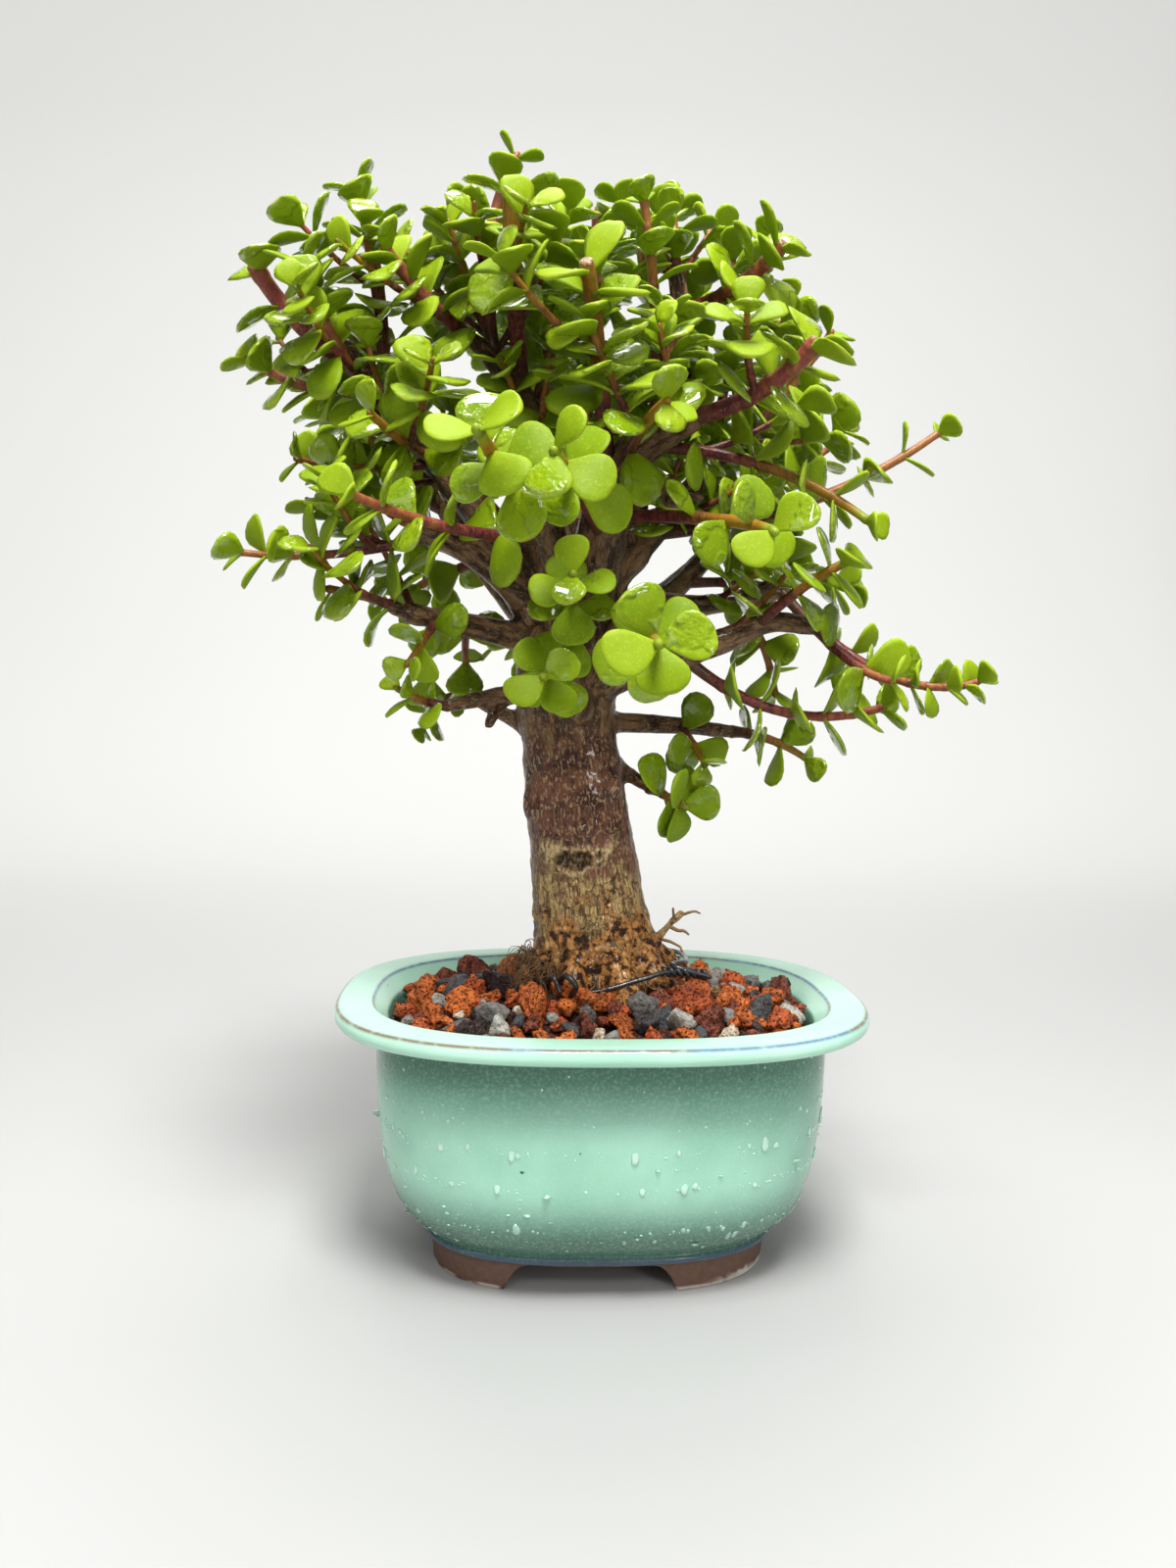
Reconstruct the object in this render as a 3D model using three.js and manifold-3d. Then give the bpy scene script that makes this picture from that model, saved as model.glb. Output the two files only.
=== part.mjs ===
// A dwarf jade bonsai in its glazed oval pot: pot, drainage nets, grit, tree, tie wires and leafy shoots.
// Millimetres, +Z up, +X along the pot, +Y to its back; the origin is the middle of the pot's footprint.
import * as THREE from "three";
import { mergeVertices } from "three/addons/utils/BufferGeometryUtils.js";
import Module from "manifold-3d";

const wasm = await Module();
wasm.setup();

// ---------------------------------------------------------------- driving dimensions

const RIM_HALF_LENGTH = 80;
const RIM_HALF_WIDTH = 64;
const POT_HEIGHT = 80;
const PLAN_POWER = 2.7; // 2 would be an ellipse, more is squarer
const POT_SIDES = 28;
const BED_SIDES = POT_SIDES / 2; // so that the corners of the grit's bed meet the pot's own
const FLOOR_TOP = 14;
const FOOT_HEIGHT = 9;
const FOOT_INSET = 28.6;
const FOOT_THICKNESS = 8;
// Arches between the feet: their middle along the side, their half widths at the ground and at the top.
const FRONT_GAP = { middle: -3.5, foot: 25, crown: 21, height: 8, round: 4 };
const END_GAP = { middle: 0, foot: 12, crown: 10, height: 8, round: 3 };
const DRAIN = { x: 25, radius: 6 };
const NET = { side: 20, thickness: 0.8, holes: 2, bar: 2.6 };
const SEAT = 0.3; // clear gap between pieces that touch

// Pot profile: height, then how far the surface stands in from the edge of the rim.
const POT_OUTSIDE = [
  [9, 27.8], [10, 26.2], [12, 26.8], [14, 24.2], [19, 20], [27, 16.4], [40, 13.3], [56, 12.2], [73.6, 12.2],
  [74.8, 1.6], [76.8, 0], [79.2, 0.7], [POT_HEIGHT, 4.5],
];
const POT_INSIDE = [
  [FLOOR_TOP, 32], [16.5, 28], [24, 22.6], [38, 19], [60, 17.8], [74, 16.6], [81, 10.8],
];

const GRIT = { wallTop: 73.5, crownTop: 84, inset: 17, stones: 40, smallest: 5, largest: 7, seed: 11 };

// Trunk: centre x, y, z and radius, from inside the grit to where the limbs part.
const TRUNK = [
  [-1, 3, 60, 18.5], [-1, 3, 78, 20.2], [-2, 4, 90, 18.6], [-4, 4, 106, 16.7], [-7, 4, 127, 15.3],
  [-9, 4, 144, 14.3], [-11, 5, 160, 14], [-12, 5, 176, 15], [-11, 5, 190, 14], [-9, 4, 202, 10.5],
  [-8, 3, 211, 7],
];

// Surface roots: bearing in degrees, reach from the trunk's middle, radius at the trunk. Each runs from
// its shoulder in the trunk over its knee down to its toe in the grit.
const ROOTS = [
  [205, 29, 5], [248, 27, 4.5], [287, 28, 5.5], [322, 30, 4.5], [15, 30, 5.5], [80, 29, 5], [140, 30, 5],
];
const ROOT_PATH = { shoulder: { out: 9, z: 97 }, knee: { share: 0.72, z: 88 }, toe: { z: 76 } };
const DRY_ROOT = [[12, -2, 90], [17, -5, 97], [20, -6, 101], [24, -6, 105]];
const DRY_ROOT_SPUR = [[20, -6, 101], [24, -8, 100], [26, -8, 99]];
const DRY_ROOT_RADIUS = 1.1;

// Limbs: their points and their radius at the trunk and at the end.
const LIMBS = {
  leader: { path: [[-8, 4, 196], [-3, -4, 215], [-1, -12, 227], [5, -22, 239], [18, -36, 246]], r: [9, 4.6] },
  right_back: { path: [[-6, 6, 196], [4, 10, 211], [18, 18, 226], [38, 30, 250]], r: [7, 2.8] },
  crown: { path: [[8, 12, 214], [10, 12, 246], [16, 14, 272], [22, 16, 291], [21, 16, 302]], r: [4.6, 2.8] },
  left_top: {
    path: [[-12, 2, 188], [-19, -4, 217], [-19, -5, 237], [-24, -8, 254], [-39, -10, 271]], r: [7, 2.6],
  },
  left_up: {
    path: [[-14, 2, 182], [-31, -5, 214], [-46, -8, 232], [-60, -8, 247], [-78, -5, 271]], r: [7, 2.6],
  },
  left_stub: { path: [[-22, -2, 198], [-38, -12, 210], [-50, -22, 215]], r: [5, 3.4] },
  left_mid: { path: [[-12, 4, 184], [-32, -6, 189], [-44, -14, 191], [-57, -20, 193]], r: [4.6, 2.6] },
  left_low_front: { path: [[-14, 2, 170], [-28, -5, 171], [-47, -16, 167]], r: [3.6, 2] },
  left_low_back: { path: [[-14, 4, 156], [-30, 10, 164], [-45, 22, 171]], r: [3, 1.8] },
  right_front: {
    path: [[-8, 2, 172], [6, -8, 178], [19, -16, 183], [32, -18, 187], [46, -18, 193], [60, -16, 192]],
    r: [5.6, 2.6],
  },
  right_mid: { path: [[-8, 4, 190], [10, 10, 199], [32, 14, 200], [56, 14, 205]], r: [5, 2.6] },
  right_low: { path: [[-6, 6, 163], [21, 16, 162], [43, 22, 160]], r: [3.6, 2.2] },
  right_small: { path: [[-2, 2, 152], [9, 6, 146], [15, 8, 142]], r: [2.8, 1.7] },
  back_up: { path: [[-8, 6, 198], [-8, 14, 222], [-8, 38, 258], [-4, 54, 282]], r: [7, 2.8] },
  back_left: { path: [[-12, 8, 180], [-30, 26, 203], [-48, 42, 226], [-60, 50, 248]], r: [6, 2.6] },
  back_right: { path: [[-6, 8, 180], [14, 30, 198], [34, 46, 216], [50, 54, 236]], r: [6, 2.6] },
  back_low: { path: [[-10, 10, 166], [-8, 36, 176], [0, 54, 180], [6, 68, 188]], r: [4.6, 2.2] },
  front_left: { path: [[-12, -4, 188], [-16, -22, 206], [-24, -38, 220]], r: [5, 2.6] },
};
const TRUNK_SIDES = 12;
const LIMB_SIDES = 5;
const TRUNK_AXIS = { path: TRUNK.map(([x, y, z]) => [x, y, z]), r: [14, 14] };

// Leafy shoots. Columns: limb and share along it where the shoot starts, tip, bow of its middle,
// pairs of leaves, leaf length, turn of the first pair in degrees, stem radius at root and tip, habit.
// A bud shoot's leaves get small towards its tip, a cut one ends in a pruned stem with full leaves below,
// and a rosette carries its largest leaves crowded at the tip.
const SHOOTS = [
  ["left_up", 0.92, [-101, -20, 288], [-3, -3, -6], 3, 14.5, 20, [2.5, 2.3], "cut"],
  ["left_up", 0.78, [-86, -35, 284], [-3, -8, -9], 6, 14.5, 70, [1.9, 1.5], "bud"],
  ["left_up", 0.85, [-74, -15, 312], [5, 0, 6], 7, 14, 10, [2, 1.2], "bud"],
  ["left_top", 1, [-64, -30, 290], [0, -4, -5], 6, 14.5, 35, [2.1, 1.6], "bud"],
  ["left_top", 0.86, [-50, 12, 317], [-4, 4, 0], 6, 14, 60, [1.6, 1.1], "bud"],
  ["left_top", 0.93, [-29, 0, 329], [-10, 6, 8], 5, 13.5, 5, [2.2, 1.5], "bud"],
  ["left_top", 0.8, [-30, -42, 303], [-2, -10, 4], 3, 14, 15, [2.4, 2.2], "cut"],
  ["left_top", 0.7, [-17, 20, 321], [6, 8, 0], 6, 14, 40, [1.6, 1.1], "bud"],
  ["back_up", 1, [-1, 40, 331], [-3, 0, 0], 4, 14, 30, [2.2, 2.8], "cut"],
  ["crown", 0.45, [8, -6, 316], [2, -8, -4], 6, 14, 0, [1.8, 1.3], "bud"],
  ["leader", 0.5, [-11, -62, 277], [0, -8, 10], 5, 15.5, 50, [2.4, 1.9], "cut"],
  ["crown", 1, [20, 20, 322], [0, 0, 0], 3, 14, 75, [1.6, 1.2], "bud"],
  ["crown", 0.75, [48, -15, 301], [2, -2, -6], 5, 14.5, 25, [2.2, 2], "cut"],
  ["right_back", 0.95, [50, 30, 320], [-2, 4, 0], 7, 14, 15, [1.8, 1.1], "bud"],
  ["leader", 1, [49, -55, 262], [4, 0, -6], 4, 15, 80, [2.5, 2.3], "cut"],
  ["right_back", 1, [64, 46, 306], [6, 6, -6], 6, 14, 55, [1.7, 1.1], "bud"],
  ["right_back", 0.85, [70, 14, 286], [4, -8, -2], 6, 14, 30, [1.8, 1.1], "bud"],
  ["right_back", 0.6, [101, 0, 253], [4, -12, -14], 6, 13, 85, [2.2, 1.1], "bud"],
  ["leader", 0.8, [67, -45, 218], [6, 2, 10], 5, 14.5, 20, [1.8, 1.2], "bud"],
  ["leader", 0.42, [33, -85, 209], [12, -6, 2], 4, 12, 45, [1.9, 1.4], "rosette"],
  ["right_front", 0.75, [62, -42, 208], [-2, -8, 2], 4, 12.5, 10, [1.7, 1.2], "rosette"],
  ["right_mid", 1, [107, -25, 177], [0, -14, -24], 9, 11, 65, [1.8, 1], "bud"],
  ["right_front", 1, [77, -38, 176], [0, -2, -6], 3, 14, 35, [1.6, 1.1], "bud"],
  ["right_front", 0.42, [80, -22, 169], [0, 6, -18], 6, 14.5, 5, [1.8, 1.2], "bud"],
  ["right_mid", 0.82, [58, 26, 172], [4, 6, 4], 4, 14, 50, [1.5, 1.1], "bud"],
  ["right_low", 1, [70, 30, 151], [0, 0, 4], 3, 14, 20, [1.8, 1.1], "bud"],
  ["right_low", 0.6, [31, -2, 150], [-2, 0, 4], 3, 12.5, 75, [1.4, 1], "bud"],
  ["right_small", 1, [25, -4, 137], [-2, 0, 2], 4, 13.5, 40, [1.6, 1.1], "rosette"],
  ["left_up", 0.88, [-104, -15, 264], [0, -3, -9], 5, 13.5, 30, [1.8, 1.1], "bud"],
  ["left_stub", 1, [-103, -30, 208], [-2, -2, -6], 6, 13.5, 15, [1.5, 0.9], "bud"],
  ["left_mid", 1, [-80, -26, 199], [0, 0, 2], 3, 13.5, 60, [1.5, 1.1], "bud"],
  ["front_left", 0.75, [-68, -63, 219], [-6, 0, -4], 5, 14.5, 45, [1.8, 1.2], "bud"],
  ["left_up", 0.62, [-66, -44, 243], [2, -4, -4], 4, 14, 80, [1.6, 1.1], "bud"],
  ["left_mid", 0.82, [-57, -34, 178], [2, -4, 2], 3, 11, 25, [1.3, 0.9], "bud"],
  ["left_mid", 0.6, [-42, 8, 172], [-2, 8, 4], 3, 12, 0, [1.3, 0.9], "bud"],
  ["left_low_front", 1, [-61, -24, 172], [0, 0, -2], 3, 10, 50, [1.4, 0.9], "bud"],
  ["left_low_back", 1, [-58, 30, 158], [-4, 2, 4], 3, 10, 15, [1.3, 0.9], "bud"],
  ["right_front", 0.2, [5, -97, 182], [2, 0, 8], 4, 14, 112, [2, 1.4], "rosette"],
  ["trunk", 0.82, [-13, -62, 201], [0, -6, -4], 4, 11.5, 5, [1.8, 1.3], "rosette"],
  ["trunk", 0.7, [-20, -58, 175], [0, -4, 2], 4, 11.5, 30, [1.7, 1.2], "rosette"],
  ["front_left", 1, [-36, -97, 228], [2, -4, -4], 4, 13.5, 20, [2, 1.5], "rosette"],
  ["leader", 0.3, [-19, -96, 224], [-2, -6, 4], 4, 12.5, 65, [1.8, 1.3], "rosette"],
  ["leader", 0.68, [8, -78, 240], [-2, -6, 2], 3, 13.5, 10, [1.7, 1.2], "bud"],
  ["back_up", 0.85, [-28, 70, 304], [-4, 2, 2], 5, 14.5, 50, [1.9, 1.2], "bud"],
  ["back_up", 0.62, [14, 88, 272], [2, 4, 6], 5, 14.5, 20, [1.9, 1.2], "bud"],
  ["back_left", 1, [-84, 50, 282], [-4, 0, 0], 5, 14.5, 70, [1.8, 1.2], "bud"],
  ["back_left", 0.75, [-98, 24, 244], [0, 6, 4], 6, 14, 35, [1.8, 1.1], "bud"],
  ["back_left", 0.9, [-56, 86, 256], [2, 4, 4], 4, 13.5, 5, [1.9, 1.3], "rosette"],
  ["back_left", 0.5, [-74, 62, 202], [2, 4, 4], 5, 14, 60, [1.8, 1.1], "bud"],
  ["back_right", 1, [82, 58, 260], [0, 4, 0], 5, 14.5, 15, [1.8, 1.1], "bud"],
  ["back_right", 0.85, [52, 92, 232], [4, 6, 4], 4, 13.5, 55, [1.9, 1.3], "rosette"],
  ["back_right", 0.55, [88, 44, 210], [6, 0, 2], 6, 14, 30, [1.8, 1.1], "bud"],
  ["back_low", 1, [22, 102, 194], [0, 2, 4], 4, 14.5, 75, [1.7, 1.1], "bud"],
  ["back_low", 0.7, [-36, 82, 190], [2, 6, 4], 5, 14, 10, [1.6, 1.1], "bud"],
];
const HABITS = {
  bud: { first: 0.22, last: 0.99, shrink: 0.34, lift: 16, close: 26 },
  cut: { first: 0.42, last: 0.93, shrink: 0.1, lift: 18, close: 6 },
  rosette: { first: 0.45, last: 0.98, shrink: 0.12, lift: 8, close: 16 },
};
const NODE_HEIGHT = 1.5; // of the swelling of the stem that a pair of leaves grows from
const LEAF_BREADTH = 0.47; // half width over length
const LEAF_TOP = 0.5; // how far the blade stands over the plane of its edges, and under it
const LEAF_UNDER = 1.05;
const LEAF_CUP = 0.7; // how far the edges rise
const LEAF_LIGHT = 0.6; // how strongly a leaf turns its face up to the light
const LEAF_ROLL = 18; // degrees that a leaf may then lean about its own length
const LEAF_CLEAR = 0.45; // between a leaf and anything else
// Half of a leaf's outline: share of its length, share of its half width.
const LEAF_EDGE = [[0.42, 0.86], [0.93, 0.8]];
// How a leaf may turn to miss its neighbours: yaw and pitch in degrees, share of full size.
const LEAF_TURNS = [
  [0, 0, 1], [22, 0, 1], [-22, 0, 1], [0, 20, 1], [0, -20, 1], [38, 10, 0.9], [-38, 10, 0.9], [0, 34, 0.8],
  [20, -24, 0.8], [-20, -24, 0.8], [0, 0, 0.7],
];

// The two ends of one wire, twisted together on the right of the trunk.
const TIE = { radius: 0.75, sides: 4, steps: 12 };
const TIE_FRONT = [
  [-26, 8, 78], [-25, -2, 87.5], [-17, -19, 85.5], [-4, -24, 85], [10, -22, 88.2], [20, -19, 90], [30, -17, 87.5],
];
const TIE_BACK = [
  [-24, 22, 77], [-10, 31, 86], [10, 30, 87], [25, 14, 89], [26, -4, 90], [20, -17, 91.4], [31, -19, 88.4],
];

// ---------------------------------------------------------------- small tools

const UP = new THREE.Vector3(0, 0, 1);
const vec = ([x, y, z]) => new THREE.Vector3(x, y, z);
const radians = THREE.MathUtils.degToRad;

// A seeded run of numbers from 0 to 1.
function dice(seed) {
  let state = seed >>> 0;
  return () => {
    state = (Math.imul(state, 1664525) + 1013904223) >>> 0;
    return state / 4294967296;
  };
}

function solidFrom(points, triangles) {
  return new wasm.Manifold(
    new wasm.Mesh({
      numProp: 3,
      vertProperties: new Float32Array(points.flatMap((p) => [p.x, p.y, p.z])),
      triVerts: new Uint32Array(triangles.flat()),
    }),
  );
}

function solidFromGeometry(geometry) {
  const bare = geometry.clone();
  bare.deleteAttribute("normal");
  bare.deleteAttribute("uv");
  const merged = mergeVertices(bare, 1e-4);
  return new wasm.Manifold(
    new wasm.Mesh({
      numProp: 3,
      vertProperties: merged.attributes.position.array,
      triVerts: new Uint32Array(merged.index.array),
    }),
  );
}

const union = (solids) => wasm.Manifold.union(solids);

// The largest body of a solid: scraps are dropped, and a sealed hollow is filled.
function mainBody(solid) {
  return solid.decompose().reduce((best, body) => (body.volume() > best.volume() ? body : best));
}

function meshOf(name, solid, material) {
  const { vertProperties, triVerts } = solid.getMesh();
  const geometry = new THREE.BufferGeometry();
  geometry.setAttribute("position", new THREE.BufferAttribute(vertProperties, 3));
  geometry.setIndex(new THREE.BufferAttribute(triVerts, 1));
  const mesh = new THREE.Mesh(geometry, material);
  mesh.name = name;
  return mesh;
}

// A skin over a stack of rings of equal count, each going round anticlockwise seen from the last ring,
// with a flat fan over both ends.
function loft(rings) {
  const count = rings[0].length;
  const triangles = [];
  for (let k = 0; k + 1 < rings.length; k++) {
    for (let j = 0; j < count; j++) {
      const next = (j + 1) % count;
      const low = k * count;
      const high = low + count;
      triangles.push([low + j, low + next, high + next], [low + j, high + next, high + j]);
    }
  }
  const top = (rings.length - 1) * count;
  for (let j = 1; j + 1 < count; j++) {
    triangles.push([0, j + 1, j], [top, top + j, top + j + 1]);
  }
  return solidFrom(rings.flat(), triangles);
}

// Two unit vectors square to a direction, turned as little as the fixed reference allows.
function squareTo(direction, reference) {
  const side = reference.clone().addScaledVector(direction, -reference.dot(direction)).normalize();
  return [side, new THREE.Vector3().crossVectors(direction, side)];
}

// The world axis that a chord runs along least.
function leastAxis(chord) {
  const share = [Math.abs(chord.x), Math.abs(chord.y), Math.abs(chord.z)];
  const axis = share.indexOf(Math.min(...share));
  return new THREE.Vector3(axis === 0 ? 1 : 0, axis === 1 ? 1 : 0, axis === 2 ? 1 : 0);
}

// A tapered round bar along a curve, its ends standing `proud` past the curve's own.
function bar(curve, sides, steps, radiusAt, proud = 0) {
  const reference = leastAxis(curve.getPoint(1).sub(curve.getPoint(0)));
  const rings = [];
  for (let k = 0; k <= steps; k++) {
    const t = k / steps;
    const along = curve.getTangent(t);
    const [side, other] = squareTo(along, reference);
    const centre = curve.getPoint(t);
    if (k === 0) centre.addScaledVector(along, -proud);
    if (k === steps) centre.addScaledVector(along, proud);
    const ring = [];
    for (let j = 0; j < sides; j++) {
      const angle = (2 * Math.PI * j) / sides;
      const radius = radiusAt(t, angle);
      ring.push(
        centre.clone().addScaledVector(side, radius * Math.cos(angle))
          .addScaledVector(other, radius * Math.sin(angle)),
      );
    }
    rings.push(ring);
  }
  return loft(rings);
}

const smooth = (path) => new THREE.CatmullRomCurve3(path.map(vec), false, "catmullrom", 0.5);
const taper = ([start, end]) => (t) => start + (end - start) * t;

// ---------------------------------------------------------------- pot

// One level ring of the pot's plan, `inset` inside the edge of the rim: |x/a|^p + |y/b|^p = 1.
function planRing(z, inset, sides = POT_SIDES) {
  const ring = [];
  for (let j = 0; j < sides; j++) {
    const angle = (2 * Math.PI * j) / sides;
    const c = Math.cos(angle);
    const s = Math.sin(angle);
    ring.push(
      new THREE.Vector3(
        (RIM_HALF_LENGTH - inset) * Math.sign(c) * Math.abs(c) ** (2 / PLAN_POWER),
        (RIM_HALF_WIDTH - inset) * Math.sign(s) * Math.abs(s) ** (2 / PLAN_POWER),
        z,
      ),
    );
  }
  return ring;
}

const planStack = (profile, sides) => loft(profile.map(([z, inset]) => planRing(z, inset, sides)));

// A trapezoid tunnel under the pot with its upper corners rounded, along Y, or along X once turned.
function footTunnel({ middle, foot, crown, height, round }, alongX) {
  const shape = new THREE.Shape();
  shape.moveTo(-foot - 1, -1);
  shape.lineTo(foot + 1, -1);
  shape.lineTo(crown + 1, height - round);
  shape.quadraticCurveTo(crown, height, crown - round, height);
  shape.lineTo(round - crown, height);
  shape.quadraticCurveTo(-crown, height, -crown - 1, height - round);
  shape.closePath();
  const length = 2 * RIM_HALF_LENGTH;
  const geometry = new THREE.ExtrudeGeometry(shape, { depth: length, bevelEnabled: false, curveSegments: 3 });
  geometry.translate(middle, 0, -length / 2).rotateX(Math.PI / 2);
  if (alongX) geometry.rotateZ(Math.PI / 2);
  return solidFromGeometry(geometry);
}

function drainHole(x) {
  const geometry = new THREE.CylinderGeometry(DRAIN.radius, DRAIN.radius, 2 * FLOOR_TOP, 12);
  geometry.rotateX(Math.PI / 2).translate(x, 0, FLOOR_TOP);
  return solidFromGeometry(geometry);
}

function makePot() {
  const body = planStack(POT_OUTSIDE).subtract(planStack(POT_INSIDE));
  const footOutside = planStack([[0, FOOT_INSET + 0.4], [FOOT_HEIGHT + 1.5, FOOT_INSET]]);
  const footInset = FOOT_INSET + FOOT_THICKNESS;
  const footInside = planStack([[-1, footInset], [FOOT_HEIGHT, footInset]]);
  const feet = footOutside.subtract(footInside)
    .subtract(footTunnel(FRONT_GAP, false))
    .subtract(footTunnel(END_GAP, true));
  return body.add(feet).subtract(drainHole(DRAIN.x)).subtract(drainHole(-DRAIN.x));
}

// ---------------------------------------------------------------- drainage nets

// A square plastic net that lies on the pot's floor over a drain hole: bars crossing at right angles.
function makeNet(x) {
  const reach = (NET.side - NET.bar) / 2;
  const pitch = (2 * reach) / NET.holes;
  const bars = [];
  for (let k = 0; k <= NET.holes; k++) {
    const offset = -reach + k * pitch;
    const along = new THREE.BoxGeometry(NET.side, NET.bar, NET.thickness).translate(0, offset, 0);
    const across = new THREE.BoxGeometry(NET.bar, NET.side, NET.thickness).translate(offset, 0, 0);
    for (const geometry of [along, across]) {
      bars.push(solidFromGeometry(geometry.translate(x, 0, FLOOR_TOP + SEAT + NET.thickness / 2)));
    }
  }
  return union(bars);
}

function netSeat(x) {
  const side = NET.side + 2 * SEAT;
  const height = NET.thickness + 2 * SEAT;
  const geometry = new THREE.BoxGeometry(side, side, height + 1);
  geometry.translate(x, 0, FLOOR_TOP + SEAT + height / 2 - 0.5);
  return solidFromGeometry(geometry);
}

// ---------------------------------------------------------------- tree

// The trunk swells into three uneven ribs.
function trunkRadius(t, angle, extra) {
  const last = TRUNK.length - 1;
  const k = Math.min(Math.floor(t * last), last - 1);
  const share = t * last - k;
  const radius = TRUNK[k][3] * (1 - share) + TRUNK[k + 1][3] * share;
  const ribs = 1 + 0.035 * Math.cos(2 * angle + 0.6) + 0.03 * Math.cos(3 * angle + 3 * t);
  return radius * ribs + extra;
}

function makeRoot([bearing, reach, radius], extra) {
  const out = new THREE.Vector3(Math.cos(radians(bearing)), Math.sin(radians(bearing)), 0);
  const [x, y] = TRUNK[1];
  const at = (distance, z) => new THREE.Vector3(x, y, z).addScaledVector(out, distance);
  const { shoulder, knee, toe } = ROOT_PATH;
  const curve = new THREE.QuadraticBezierCurve3(
    at(shoulder.out, shoulder.z), at(reach * knee.share, knee.z), at(reach, toe.z),
  );
  return bar(curve, 5, 2, (t) => radius * (1 - 0.55 * t) + extra, extra);
}

// The tree's wood, or the same wood fattened by `extra` to cut its seat in what touches it.
function makeWood(extra) {
  const trunkAt = (t, angle) => trunkRadius(t, angle, extra);
  const solids = [bar(smooth(TRUNK_AXIS.path), TRUNK_SIDES, TRUNK.length - 1, trunkAt, extra)];
  for (const { path, r } of Object.values(LIMBS)) {
    const radius = taper(r);
    solids.push(bar(smooth(path), LIMB_SIDES, path.length, (t) => radius(t) + extra, extra));
  }
  solids.push(...ROOTS.map((root) => makeRoot(root, extra)));
  for (const path of [DRY_ROOT, DRY_ROOT_SPUR]) {
    solids.push(bar(smooth(path), 4, 3, (t) => DRY_ROOT_RADIUS * (1.2 - 0.5 * t) + extra, extra));
  }
  return mainBody(union(solids));
}

// ---------------------------------------------------------------- grit

// Height of the grit's bed at a point: a low dome against the trunk.
function bedHeight(x, y) {
  const wide = RIM_HALF_LENGTH - GRIT.inset;
  const deep = RIM_HALF_WIDTH - GRIT.inset;
  const share = Math.min(1, Math.hypot(x / wide, y / deep));
  return GRIT.wallTop + (GRIT.crownTop - GRIT.wallTop) * (1 - share ** 1.6);
}

// A stone is a box with its corners pushed about and turned at random.
function makeStone(x, y, radius, roll) {
  const geometry = new THREE.BoxGeometry(1.5 * radius, 1.5 * radius, 1.5 * radius);
  const euler = new THREE.Euler(Math.PI * roll(), Math.PI * roll(), Math.PI * roll());
  const bare = mergeVertices(geometry.deleteAttribute("normal").deleteAttribute("uv"), 1e-4);
  const corners = bare.attributes.position;
  const stretch = new THREE.Vector3(0.85 + 0.5 * roll(), 0.75 + 0.4 * roll(), 0.65 + 0.4 * roll());
  for (let i = 0; i < corners.count; i++) {
    const push = new THREE.Vector3(roll() - 0.5, roll() - 0.5, roll() - 0.5).multiplyScalar(0.55 * radius);
    const corner = new THREE.Vector3().fromBufferAttribute(corners, i).add(push).multiply(stretch);
    corner.applyEuler(euler);
    corners.setXYZ(i, corner.x, corner.y, corner.z);
  }
  bare.translate(x, y, bedHeight(x, y) + 0.15 * radius);
  return solidFromGeometry(bare);
}

// Stones scattered over the bed, clear of the wall and of the trunk, none deep in another.
function scatterStones() {
  const roll = dice(GRIT.seed);
  const placed = [];
  const stones = [];
  for (let attempt = 0; attempt < 6000 && placed.length < GRIT.stones; attempt++) {
    const radius = GRIT.smallest + (GRIT.largest - GRIT.smallest) * roll() ** 1.5;
    const x = (2 * roll() - 1) * RIM_HALF_LENGTH;
    const y = (2 * roll() - 1) * RIM_HALF_WIDTH;
    const wide = RIM_HALF_LENGTH - GRIT.inset - 1.1 * radius;
    const deep = RIM_HALF_WIDTH - GRIT.inset - 1.1 * radius;
    const insideWall = Math.abs(x / wide) ** PLAN_POWER + Math.abs(y / deep) ** PLAN_POWER < 1;
    const besideTrunk = Math.hypot(x - TRUNK[1][0], y - TRUNK[1][1]) > TRUNK[1][3] + 0.6 * radius;
    const apart = placed.every(([px, py, pr]) => Math.hypot(x - px, y - py) > 0.97 * (radius + pr));
    if (insideWall && besideTrunk && apart) {
      placed.push([x, y, radius]);
      stones.push(makeStone(x, y, radius, roll));
    }
  }
  return stones;
}

function makeGrit(seats) {
  const inside = POT_INSIDE.filter(([z]) => z < GRIT.wallTop)
    .map(([z, inset], k) => (k === 0 ? [z + SEAT, inset] : [z, inset + SEAT]));
  const rings = inside.map(([z, inset]) => planRing(z, inset, BED_SIDES));
  const wallInset = POT_INSIDE.find(([z]) => z > GRIT.wallTop)[1] + SEAT;
  for (const share of [1, 0.4]) {
    rings.push(
      planRing(GRIT.wallTop, wallInset, BED_SIDES).map(({ x, y }) =>
        new THREE.Vector3(x * share, y * share, bedHeight(x * share, y * share))),
    );
  }
  const bed = loft(rings).add(union(scatterStones()));
  return mainBody(seats.reduce((grit, seat) => grit.subtract(seat), bed));
}

// ---------------------------------------------------------------- tie wires

function makeTie(extra) {
  const radius = () => TIE.radius + extra;
  return union([TIE_FRONT, TIE_BACK].map((path) => bar(smooth(path), TIE.sides, TIE.steps, radius, extra)));
}

// ---------------------------------------------------------------- leaves and shoots

const woodNamed = (name) => (name === "trunk" ? TRUNK_AXIS : LIMBS[name]);

// A shoot's stem is one arc from the limb's middle to its tip.
function stemOf([limb, share, tip, bow]) {
  const root = smooth(woodNamed(limb).path).getPoint(share);
  const end = vec(tip);
  const middle = root.clone().add(end).multiplyScalar(0.5).add(vec(bow));
  return new THREE.QuadraticBezierCurve3(root, middle, end);
}

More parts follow.
